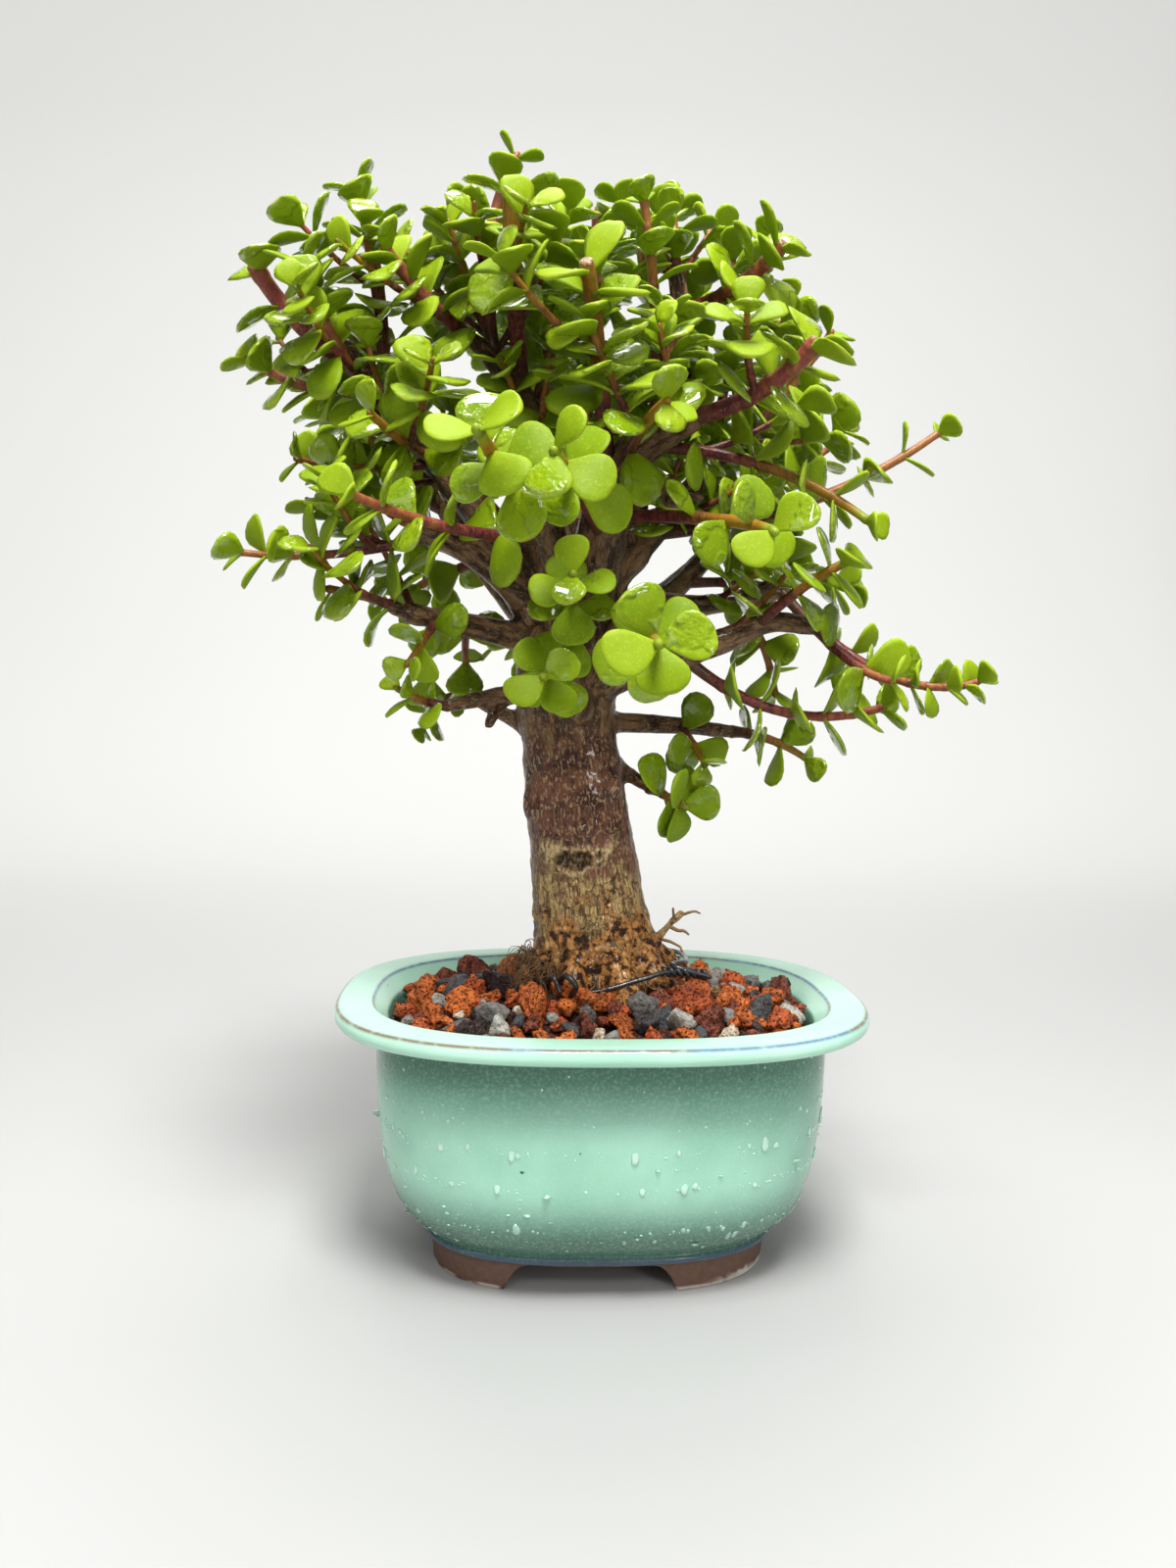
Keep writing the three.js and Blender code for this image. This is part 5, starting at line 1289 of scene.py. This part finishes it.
def stone_skin(placed, splits, generator, kinds=None):
    """Stones cut from balls: random planes take slices off, noise roughens, and round pits are pressed in
    as bells exp(-(angle/width) squared)."""
    count = len(placed)
    if kinds is None:
        share = np.cumsum([kind[0] for kind in STONE_KINDS.values()])
        picked = np.searchsorted(share, generator.random(count) * share[-1])
        kinds = [list(STONE_KINDS)[k] for k in picked]
    _, tones, porous = (np.array(values) for values in zip(*(STONE_KINDS[kind] for kind in kinds)))
    tones = tones * np.exp(generator.normal(0, 0.16, (count, 1)))
    directions, faces = ball(splits)
    planes = unit(generator.normal(size=(count, STONE_CUTS, 3)))
    heights = generator.uniform(0.58, 1.0, (count, 1, STONE_CUTS))
    facing = np.einsum("vk,spk->svp", directions, planes)
    cut = np.where(facing > 0.05, heights / np.maximum(facing, 0.05), 9)
    radius = np.clip(-np.log(np.exp(-cut * 11).sum(-1)) / 11, 0.42, 1.3)
    knobbly = rough(directions[None] * 2.3 + generator.uniform(0, 90, (count, 1, 3)), 4, 4)
    radius = radius * (1 + (0.06 + 0.17 * porous)[:, None] * knobbly)
    pits = unit(generator.normal(size=(count, STONE_PITS, 3)))
    width = generator.uniform(0.09, 0.24, (count, 1, STONE_PITS))
    near = np.exp(-(np.arccos(np.clip(np.einsum("vk,spk->svp", directions, pits), -1, 1)) / width) ** 2)
    hollow = np.clip((near * width / 0.24).max(-1), 0, 1) * porous[:, None]
    radius = radius * (1 - 0.24 * hollow)
    stretch = generator.uniform((0.95, 0.75, 0.6), (1.4, 1.1, 0.95), (count, 3))
    shaped = directions[None] * radius[..., None] * stretch[:, None]
    spin = unit(generator.normal(size=(count, 4)))
    w, axis = spin[:, None, :1], spin[:, None, 1:]
    shaped = shaped + 2 * np.cross(axis, np.cross(axis, shaped) + w * shaped)
    points = placed[:, None, :3] + shaped * placed[:, None, 3:]
    points[..., 2] = np.maximum(points[..., 2], STONE_FLOOR)
    corners = len(directions)
    triangles = (faces[None] + (np.arange(count) * corners)[:, None, None]).reshape(-1, 3)
    marks = {
        "tone": np.repeat(tones, corners, 0), "porous": np.repeat(porous, corners), "hollow": hollow.ravel(),
    }
    return {
        "points": points.reshape(-1, 3), "faces": np.column_stack([triangles, triangles[:, 2]]),
        "marks": marks, "finish": 0,
    }


def make_grit(finish):
    """The filling: a bed with a domed top under stones of two sizes."""
    angle = even_angles(120)[None]
    rows = np.array([
        (FLOOR_TOP + 0.3, 36), (16.5, 29), (24, 23.2), (38, 19.6), (60, 18.4), (GRIT["wall_top"] - 2, 17.4),
    ])
    bed = plan(rows[:, :1], rows[:, 1:], angle)
    top = [bed[-1] * np.array([share, share, 1]) for share in (0.97, 0.85, 0.7, 0.55, 0.4, 0.25, 0.1)]
    for ring in top:
        ring[:, 2] = bed_height(ring[:, 0], ring[:, 1]) - 1.2 + 0.8 * noise(ring / 4, 2)
    bed = np.concatenate([bed, np.stack(top)])
    dark = np.broadcast_to(np.array([0.07, 0.026, 0.016]), bed.shape)
    skins = [grid_skin(bed, {"tone": dark, "porous": np.ones(bed.shape[:2])})]
    generator = np.random.default_rng(5)
    front, *groups = scatter_stones()
    skins.append(stone_skin(front, 3, generator, [row[3] for row in STONES_IN_FRONT]))
    for placed, sizes in zip(groups, STONE_SIZES):
        skins.append(stone_skin(placed, sizes["splits"], generator))
    make_piece("lava_grit", skins, [finish], ["grit"])


# ---------------------------------------------------------------- tie wire


def make_tie(finish):
    """One wire in two runs round the trunk, their ends twisted round each other on the right, and two
    small loops of its spare end."""
    share = np.linspace(0, 1, 60)
    skins = [tube(catmull(path, share), TIE_RADIUS, 8) for path in (TIE_FRONT, TIE_BACK)]
    start, end = np.array(TIE_TWIST["start"]), np.array(TIE_TWIST["end"])
    side, other = square_to(unit(end - start), UP)
    share = np.linspace(0, 1, 70)
    for half in (0, math.pi):
        angle = 2 * math.pi * TIE_TWIST["turns"] * share + half
        line = start + share[:, None] * (end - start)
        line = line + TIE_TWIST["apart"] * (np.cos(angle)[:, None] * side + np.sin(angle)[:, None] * other)
        skins.append(tube(line, TIE_RADIUS * TIE_TWIST["thickness"], 8))
    for path, count, thickness in TIE_LOOPS:
        skins.append(tube(catmull(path, np.linspace(0, 1, count)), TIE_RADIUS * thickness, 8))
    make_piece("twisted_tie", skins, [finish], ["tie_wire"])


# ---------------------------------------------------------------- where leaves grow


def rods_along(points, radius, owner):
    """Straight rods between a run of points, with the radius of each and the shoot that owns them. The
    radius is one number, or two that it runs between, taken at the middle of each rod."""
    count = len(points) - 1
    if np.ndim(radius):
        start, end = radius
        radius = start + (end - start) * (np.arange(count) + 0.5) / count
    return {
        "a": points[:-1], "b": points[1:], "radius": np.broadcast_to(radius, count).astype(float),
        "owner": np.full(count, owner),
    }


def stacked(tables):
    """Several tables of arrays as one."""
    return {name: np.concatenate([table[name] for table in tables]) for name in tables[0]}


def leaf_frame(base, direction, normal, length):
    """A leaf's flat ellipse: its middle, axes, half sizes and eight points of its rim."""
    side = unit(np.cross(normal, direction))
    face = np.cross(direction, side)
    centre = base + 0.58 * length * direction
    half, breadth = 0.46 * length, LEAF_BREADTH * length
    angle = np.arange(8) * math.pi / 4
    rim = centre + half * np.cos(angle)[:, None] * direction + breadth * np.sin(angle)[:, None] * side
    return {
        "base": base, "direction": direction, "side": side, "face": face, "centre": centre, "rim": rim,
        "length": length, "half": half, "breadth": breadth,
    }


def rims_meet(flat, rims, thick):
    """Whether rims come within the thickness of flat ellipses, or pass through them."""
    offset = rims - flat["centre"][:, None]
    height = np.einsum("mkc,mc->mk", offset, flat["face"])
    u = np.einsum("mkc,mc->mk", offset, flat["direction"]) / (flat["half"] + LEAF_CLEAR)[:, None]
    v = np.einsum("mkc,mc->mk", offset, flat["side"]) / (flat["breadth"] + LEAF_CLEAR)[:, None]
    touching = (np.abs(height) < thick) & (u**2 + v**2 < 1)
    after, u_next, v_next = (np.roll(values, -1, 1) for values in (height, u, v))
    crossing = height * after < 0
    share = np.where(crossing, height / np.where(crossing, height - after, 1), 0)
    through = crossing & ((u + share * (u_next - u)) ** 2 + (v + share * (v_next - v)) ** 2 < 1)
    return (touching | through).any(1)


LEAF_FIELDS = ("centre", "direction", "side", "face", "half", "breadth", "rim")


def meets_leaves(leaf, others):
    """Whether a leaf comes within its thickness of any of the others."""
    reach = leaf["half"] + others["half"] + 2
    near = np.linalg.norm(others["centre"] - leaf["centre"], axis=1) <= reach
    if not near.any():
        return False
    others = {name: others[name][near] for name in LEAF_FIELDS}
    count = int(near.sum())
    single = {name: np.repeat(np.asarray(leaf[name])[None], count, 0) for name in LEAF_FIELDS}
    thick = LEAF_TOP + LEAF_UNDER + LEAF_CLEAR
    if rims_meet(single, others["rim"], thick).any() or rims_meet(others, single["rim"], thick).any():
        return True
    return bool(rims_meet(single, others["centre"][:, None], thick).any())


def meets_rods(leaf, rods):
    """Whether a leaf comes within its thickness of any rod, or a rod passes through it."""
    line = rods["b"] - rods["a"]
    share = np.clip(dot(leaf["centre"] - rods["a"], line) / dot(line, line), 0, 1)
    closest = rods["a"] + share[:, None] * line
    near = np.linalg.norm(closest - leaf["centre"], axis=1) <= leaf["half"] + rods["radius"] + 3
    if not near.any():
        return False
    a, line, radius = rods["a"][near], line[near], rods["radius"][near]
    margin = radius + LEAF_CLEAR
    points = np.vstack([leaf["rim"], leaf["centre"][None]])
    offset = points[None] - a[:, None]
    share = np.clip(np.einsum("mkc,mc->mk", offset, line) / dot(line, line)[:, None], 0, 1)
    gap = np.linalg.norm(offset - share[..., None] * line[:, None], axis=-1)
    if (gap < (margin + LEAF_UNDER)[:, None]).any():
        return True
    ends = np.stack([a, a + line], 1) - leaf["centre"]
    height, u, v = (ends @ leaf[name] for name in ("face", "direction", "side"))
    u, v = u / (leaf["half"] + margin)[:, None], v / (leaf["breadth"] + margin)[:, None]
    touching = (np.abs(height) < (margin + LEAF_UNDER)[:, None]) & (u**2 + v**2 < 1)
    crossing = height[:, 0] * height[:, 1] < 0
    share = np.where(crossing, height[:, 0] / np.where(crossing, height[:, 0] - height[:, 1], 1), 0)
    u, v = (values[:, 0] + share * (values[:, 1] - values[:, 0]) for values in (u, v))
    return bool(touching.any() or (crossing & (u**2 + v**2 < 1)).any())


def wood_rods():
    """The rods of the trunk and the limbs."""
    tables = [rods_along(catmull(path, np.linspace(0, 1, 9)), radii, -1) for path, radii in LIMBS.values()]
    return [*tables, rods_along(catmull(TRUNK_PATH, np.linspace(0, 1, 11)), TRUNK_ROD, -1)]


def shoot_stem(row):
    """Root, middle and tip of a shoot's arc, from the limb's middle."""
    limb, share, tip, bow = row[:4]
    root = catmull(TRUNK_PATH if limb == "trunk" else LIMBS[limb][0], share)[0]
    tip = np.array(tip, float)
    return root, (root + tip) / 2 + np.array(bow, float), tip


def run_along(stem, count):
    """Points at even steps along a stem's arc."""
    return arc(*stem, np.linspace(0, 1, count))[0]


def pair_place(traits, share):
    """Where along its stem a pair of leaves sits: share 0 is the first pair and 1 is the last."""
    return traits["first"] + (traits["last"] - traits["first"]) * share**0.9


def grow_leaves(stem, pairs, size, turn, habit, owner, seed, rods, placed):
    """Opposite pairs along a stem, each pair crosswise to the last, in the first turn that is clear."""
    traits = HABITS[habit]
    roll = dice(seed)
    length = np.linalg.norm(np.diff(run_along(stem, 200), axis=0), axis=1).sum()
    reference = least_axis(stem[2] - stem[0])
    others = {name: rods[name][rods["owner"] != owner] for name in rods}
    own = []
    for pair in range(pairs):
        share = pair / (pairs - 1)
        t = min(pair_place(traits, share), 1 - 2.2 * NODE_HEIGHT / 2 / length)
        point, along = (values[0] for values in arc(*stem, t))
        side, other = square_to(along, reference)
        rest = [leaf for leaf in own if leaf["pair"] != pair]
        tables = [*placed, *([leaf_table(rest)] if rest else [])]
        for half in (0, 180):
            jitter = [2 * next(roll) - 1 for _ in range(4)]
            span = size * (1 - traits["shrink"] * share**2) * (1 + 0.08 * jitter[3])
            for yaw, pitch, scale in LEAF_TURNS:
                bearing = math.radians(turn + 90 * pair + half + 12 * jitter[0] + yaw)
                rise = math.radians(traits["lift"] + traits["close"] * share**1.5 + 9 * jitter[1] + pitch)
                out = side * math.cos(bearing) + other * math.sin(bearing)
                direction = out * math.cos(rise) + along * math.sin(rise)
                normal = along * math.cos(rise) - out * math.sin(rise)
                normal = unit(normal + LEAF_LIGHT * (UP - direction * direction[2]))
                normal = turned(normal, direction, math.radians(LEAF_ROLL * jitter[2]))
                leaf = leaf_frame(point, direction, normal, span * scale)
                if meets_rods(leaf, others) or any(meets_leaves(leaf, table) for table in tables):
                    continue
                own.append({**leaf, "pair": pair, "share": share})
                break
    return own


def leaf_table(leaves):
    """Leaves as one table of arrays."""
    return {name: np.stack([np.asarray(leaf[name]) for leaf in leaves]) for name in LEAF_FIELDS}


# ---------------------------------------------------------------- leaves and stems

# Shares of its length where a leaf has a ring, and corners of each ring: a plain leaf, and a near one.
LEAF_RINGS = ((0.0, 0.14, 0.32, 0.52, 0.70, 0.86, 0.96), 8)
NEAR_LEAF_RINGS = ((0.0, 0.07, 0.15, 0.25, 0.36, 0.47, 0.58, 0.68, 0.78, 0.87, 0.94, 0.98), 16)
LEAF_WIDEST = 0.66
LEAF_SPREAD = 1.06  # how much a blade spreads past its flat ellipse
STEM_FINISH = 1  # number of the stem's finish on a leafy piece


def leaf_skins(leaves, rings=LEAF_RINGS):
    """Leaves as closed shells. Along the leaf u runs from stalk to tip. The half breadth rises from a
    narrow foot as the sine of a power of u to full at LEAF_WIDEST, then falls as a superellipse. Round
    each section a squarish ellipse gives the flesh. The edges rise as the square of their distance from
    the rib, one more than the other, and the blade arches: up by u and down by u to the power 2.2."""
    count = len(leaves)
    stations, columns = rings
    generator = np.random.default_rng(1000 + count)
    column = lambda values: np.array(values, float)[:, None, None]
    spread = lambda low, high: generator.uniform(low, high, (count, 1, 1))
    length = LEAF_SPREAD * column([leaf["length"] for leaf in leaves])
    share = column([leaf["share"] for leaf in leaves])
    u = np.array(stations)[None, :, None]
    angle = np.arange(columns)[None, None] * 2 * math.pi / columns
    across, through = np.cos(angle), np.sin(angle)
    rising = 0.10 + 0.90 * np.sin(math.pi / 2 * np.minimum(u / LEAF_WIDEST, 1) ** spread(1.1, 1.45))
    past = np.maximum(u - LEAF_WIDEST, 0) / (1 - LEAF_WIDEST)
    falling = np.sqrt(np.maximum(1 - past ** spread(1.9, 2.5), 0))
    outline = np.where(u < LEAF_WIDEST, rising, falling)
    half = spread(0.42, 0.50) * length * outline
    arch = spread(0.10, 0.46) * (1 - 0.6 * share) * length
    flesh = spread(0.95, 1.25) * (0.62 + 0.068 * length) * (0.5 + 0.5 * outline)
    bend = lambda at: arch * (0.5 * at - 1.3 * at**2.2)
    x = half * across
    z = 0.5 * flesh * np.sign(through) * np.abs(through) ** 0.75
    lift = outline * length * (spread(-0.02, 0.09) * across**2 + spread(-0.05, 0.05) * across * u) + bend(u)
    sway = spread(-0.10, 0.10) * length
    frame_of = lambda name: np.stack([leaf[name] for leaf in leaves])[:, None, None]
    points = frame_of("base") + (u * length)[..., None] * frame_of("direction")
    points = points + (x + sway * u**2)[..., None] * frame_of("side")
    points = points + (z + lift)[..., None] * frame_of("face")
    tips = frame_of("base") + (spread(0.96, 1.0) * length)[..., None] * frame_of("direction")
    tips = tips + sway[..., None] * frame_of("side") + bend(1.0)[..., None] * frame_of("face")
    stalks = frame_of("base") - 0.03 * length[..., None] * frame_of("direction")
    age = 1 - share + generator.normal(0.5 if rings is NEAR_LEAF_RINGS else 0, 0.22, (count, 1, 1))
    marks = {
        "rim": np.clip(np.abs(across) ** 8 + (u > 0.95), 0, 1), "under": through < -0.1,
        "age": np.clip(age, 0, 1), "tint": generator.random((count, 1, 1)),
        "wet": generator.random((count, 1, 1)) < WET_LEAVES,
    }
    shape = (count, len(stations), columns)
    marks = {name: np.broadcast_to(values, shape) for name, values in marks.items()}
    return [
        grid_skin(
            points[k], {name: values[k] for name, values in marks.items()},
            poles=(stalks[k, 0, 0], tips[k, 0, 0]),
        ) for k in range(count)
    ]


def stem_skin(stem, radii, pairs, habit, red, sides=8):
    """A stem with a swelling at each pair: the radius rises by a narrow bell there."""
    share = np.linspace(0, 1, 9 + 9 * pairs)
    points, _ = arc(*stem, share)
    length = np.linalg.norm(np.diff(points, axis=0), axis=1).sum()
    radius = radii[0] + (radii[1] - radii[0]) * share
    node = np.zeros(len(share))
    for pair in range(pairs):
        t = pair_place(HABITS[habit], pair / (pairs - 1))
        radius = radius * (1 + 0.16 * np.exp(-(((share - t) * length / 1.1) ** 2)))
        node = np.maximum(node, np.exp(-(((share - t) * length / 0.6) ** 2)))
    radius = radius * (1 + 0.25 * np.exp(-(share * length / 2.5)))
    is_cut = habit == "cut"
    if not is_cut:
        radius = radius * np.where(share > 0.985, 0.75, 1)
    callus = np.where((share > 0.99) & is_cut, 1.0, 0.0)
    marks = {"along": share, "red": np.full(len(share), red), "callus": callus, "node": node}
    return tube(points, radius, sides, marks, STEM_FINISH, "flat" if is_cut else "round")


def twig_candidates(stems, generator):
    """Random side twigs: a root on a shoot or a limb, heading outward and up, and its arc."""
    limbs = [catmull(path, np.linspace(0, 1, 60)) for path, _ in LIMBS.values()]
    runs = [run_along(stem, 60) for stem in stems]
    while True:
        if generator.random() < 0.5:
            owner = -1
            run = limbs[generator.integers(len(limbs))]
            root = run[int(60 * generator.uniform(0.35, 0.98))]
        else:
            owner = int(generator.integers(len(runs)))
            if SHOOTS[owner][8] == "rosette":
                continue
            root = runs[owner][int(60 * generator.uniform(0.08, 0.55))]
        outward = unit(root - CROWN_HEART)
        heading = unit(outward * 0.9 + unit(generator.normal(size=3)) * 1.0 + np.array([0, 0, 0.45]))
        length = generator.uniform(*TWIG_RULE["length"])
        tip = root + heading * length
        bow = np.array([0, 0, -0.12 * length]) + generator.normal(0, 0.04 * length, 3)
        yield (root, (root + tip) / 2 + bow, tip), owner


def in_crown(point):
    """Whether the camera sees a point within the crown's outline: a ray to the right of the point's
    place in the picture crosses the outline an odd number of times."""
    offset = point - CAMERA_AT
    depth = offset @ CAMERA_AHEAD
    x, y = 600 + FOCAL * (offset @ CAMERA_RIGHT) / depth, 800 + FOCAL * (offset @ CAMERA_DOWN) / depth
    a, b = CROWN_OUTLINE, np.roll(CROWN_OUTLINE, -1, 0)
    spans = (a[:, 1] > y) != (b[:, 1] > y)
    a, b = a[spans], b[spans]
    return (a[:, 0] + (y - a[:, 1]) / (b[:, 1] - a[:, 1]) * (b[:, 0] - a[:, 0]) > x).sum() % 2 == 1


def within(point, zone):
    """Whether a point lies in a box of three ranges."""
    return all(low < value < high for value, (low, high) in zip(point, zone))


def twig_room(stem, tips, rods, leaves):
    """How much room a side twig would have, 0 where it may not grow. That is the least of its tip's
    distance from rods, 1.6 times its middle's, and 1.3 times its tip's distance from leaves."""
    _, middle, tip = stem
    if within(tip, CLEAR_VIEW) or within(middle, CLEAR_VIEW) or not in_crown(tip):
        return 0
    if np.linalg.norm(tips - tip, axis=1).min() > TWIG_RULE["reach"]:
        return 0
    rod_middles = (rods["a"] + rods["b"]) / 2
    nearest = lambda points, place_at: np.linalg.norm(points - place_at, axis=1).min()
    return min(
        nearest(rod_middles, tip), 1.6 * nearest(rod_middles, (middle + tip) / 2),
        1.3 * nearest(leaves["centre"], tip),
    )


def twig_skins(twigs, radii):
    """Skins of side twigs and their leaves."""
    skins = []
    for stem, pairs, leaves, red in twigs:
        skins.append(stem_skin(stem, radii, pairs, "twig", red, 6))
        skins += leaf_skins(leaves)
    return skins


def plant_shoots(leaf, stem_paint):
    """All shoots with their leaves, then side twigs that fill the crown where it is emptiest."""
    stems = [shoot_stem(row) for row in SHOOTS]
    tables = wood_rods()
    for k, (stem, row) in enumerate(zip(stems, SHOOTS)):
        tables.append(rods_along(run_along(stem, 7), row[7], k))
    rods = stacked(tables)
    placed = []
    grown = []
    for k, (stem, row) in enumerate(zip(stems, SHOOTS)):
        pairs, size, turn, _, habit = row[4:9]
        own = grow_leaves(stem, pairs, size, turn, habit, k, 977 * k + 13, rods, placed)
        placed = [stacked([*placed, leaf_table(own)])]
        grown.append(own)
    tips = placed[0]["centre"]
    twigs = {owner: [] for owner in range(-1, len(SHOOTS))}
    generator = np.random.default_rng(17)
    candidates = twig_candidates(stems, generator)
    wanted = TWIGS
    for _ in range(TWIG_RULE["tries"]):
        if not wanted:
            break
        best, best_room = None, 0
        for _ in range(TWIG_RULE["candidates"]):
            stem, owner = next(candidates)
            room = twig_room(stem, tips, rods, placed[0])
            if room > best_room:
                best, best_room = (stem, owner), room
        if best is None or best_room < TWIG_RULE["room"]:
            continue
        stem, owner = best
        number = 1000 + wanted
        pairs = int(2 + round(np.linalg.norm(stem[2] - stem[0]) / 9))
        size, turn = generator.uniform(*TWIG_RULE["leaf"]), generator.uniform(0, 90)
        own = grow_leaves(stem, pairs, size, turn, "twig", number, 977 * number, rods, placed)
        if len(own) < TWIG_RULE["leaves"]:
            continue
        wanted -= 1
        placed = [stacked([placed[0], leaf_table(own)])]
        rods = stacked([rods, rods_along(run_along(stem, 5), 0.9, number)])
        twigs[owner].append((stem, pairs, own, generator.uniform(0.1, 0.8)))
    finishes = [leaf, stem_paint]
    for k, (stem, leaves, row) in enumerate(zip(stems, grown, SHOOTS)):
        pairs, _, _, radii, habit, red = row[4:]
        skins = [stem_skin(stem, radii, pairs, habit, red)]
        skins += leaf_skins(leaves, NEAR_LEAF_RINGS if habit == "rosette" else LEAF_RINGS)
        skins += twig_skins(twigs[k], (1.15, 0.75))
        make_piece(f"leafy_shoot_{k + 1:02d}", skins, finishes, [f"shoot_{k + 1:02d}"])
    loose = twigs[-1]
    for start in range(0, len(loose), 10):
        skins = twig_skins(loose[start:start + 10], (1.25, 0.8))
        make_piece(f"limb_twigs_{start // 10 + 1:02d}", skins, finishes)


# ---------------------------------------------------------------- camera, floor and light


LENS = {"lens": 27, "sensor_width": 36, "clip_start": 0.01, "clip_end": 30}  # settings of the camera
LAMPS = [  # name, place, aim, size and power
    ("key", (0.04, -0.50, 1.12), (0, 0, 0.17), (0.35, 0.35), 20),
    ("left_fill", (-0.95, -0.75, 0.6), (0, 0, 0.18), (0.6, 0.6), 1.6),
    ("top", (-0.05, 0.22, 1.2), (0, 0, 0.25), (0.6, 0.6), 9),
    ("left_tube", (-0.22, -0.85, 0.82), (0, 0, 0.2), (0.5, 0.025), 1.3),
    ("right_tube", (0.30, -0.80, 0.62), (0, 0, 0.2), (0.4, 0.02), 1.0),
    ("right_glint", (0.42, -0.78, 0.36), (0, 0, 0.15), (0.1, 0.1), 1.1),
]
SKY_COLOUR = (0.96, 0.98, 1, 1)
SKY_STRENGTH = 0.24
FLOOR_COLOUR = (0.42, 0.42, 0.41, 1)
WALL_GLOW = 0.46


def matrix_of(right, up, back, place_at):
    """The matrix of an object with these axes at a place."""
    matrix = np.eye(4)
    matrix[:3] = np.stack([right, up, back, place_at], 1)
    return Matrix(matrix.tolist())


def set_camera():
    """A wide lens a little over a third of a metre in front of the pot, turned slightly."""
    camera = bpy.data.cameras.new("camera")
    for name, value in LENS.items():
        setattr(camera, name, value)
    viewer = put("camera", camera)
    viewer.matrix_world = matrix_of(CAMERA_RIGHT, -CAMERA_DOWN, -CAMERA_AHEAD, CAMERA_AT * MM)
    bpy.context.scene.camera = viewer


def make_floor():
    """A pale floor that curves up into a wall lit from behind: a quarter circle between two flats."""
    depth, radius, height, width = 0.75, 0.5, 4.0, 4.0
    bend = np.linspace(0, math.pi / 2, 24)
    y = np.concatenate([[-3.0, 0.0], depth + radius * np.sin(bend), [depth + radius]])
    z = np.concatenate([[0.0, 0.0], radius * (1 - np.cos(bend)), [height]])
    rows = np.stack([np.stack([np.full(len(y), x), y, z], 1) for x in (-width, width)], 1)
    mesh = bpy.data.meshes.new("pale_floor")
    faces = [(2 * k, 2 * k + 1, 2 * k + 3, 2 * k + 2) for k in range(len(y) - 1)]
    mesh.from_pydata(rows.reshape(-1, 3).tolist(), [], faces)
    mesh.polygons.foreach_set("use_smooth", np.ones(len(faces), bool))
    floor = put("pale_floor", mesh)
    finish, tree, shader = new_finish(
        "pale_floor", Roughness=0.75, Base_Color=FLOOR_COLOUR, Emission_Color=(1, 1, 0.97, 1),
    )
    where = axes(tree)
    glow = remap(tree, where["Y"], 0.1, 1.15, 0.0, WALL_GLOW)
    aside = remap(tree, sums(tree, "ABSOLUTE", where["X"]), 1.4, 0.8)
    dress(tree, shader, Emission_Strength=times(tree, glow, aside))
    mesh.materials.append(finish)


def set_lights():
    """A soft key high in front, one above and behind, a weak fill from the left, two tubes and a small
    lamp that shine in wet skins, and a pale sky. A lamp shines along its -Z."""
    scene = bpy.context.scene
    scene.view_settings.view_transform = "Standard"
    world = bpy.data.worlds.new("pale_sky")
    scene.world = world
    world.use_nodes = True
    sky = world.node_tree.nodes["Background"].inputs
    sky["Color"].default_value = SKY_COLOUR
    sky["Strength"].default_value = SKY_STRENGTH
    for name, place_at, aim, size, power in LAMPS:
        light = bpy.data.lights.new(name, "AREA")
        light.shape = "RECTANGLE"
        light.size, light.size_y = size
        light.energy = power
        back = unit(np.subtract(place_at, aim))
        side = unit(np.cross(UP, back))
        put(name, light).matrix_world = matrix_of(side, np.cross(back, side), back, place_at)


# ---------------------------------------------------------------- assembly

set_camera()
make_floor()
set_lights()
make_pot(celadon_finish())
make_drops(drop_finish())
make_nets(net_finish())
make_grit(stone_finish())
make_wood(bark_finish())
make_fibres(fibre_finish())
make_tie(cord_finish())
plant_shoots(leaf_finish(), stem_finish())
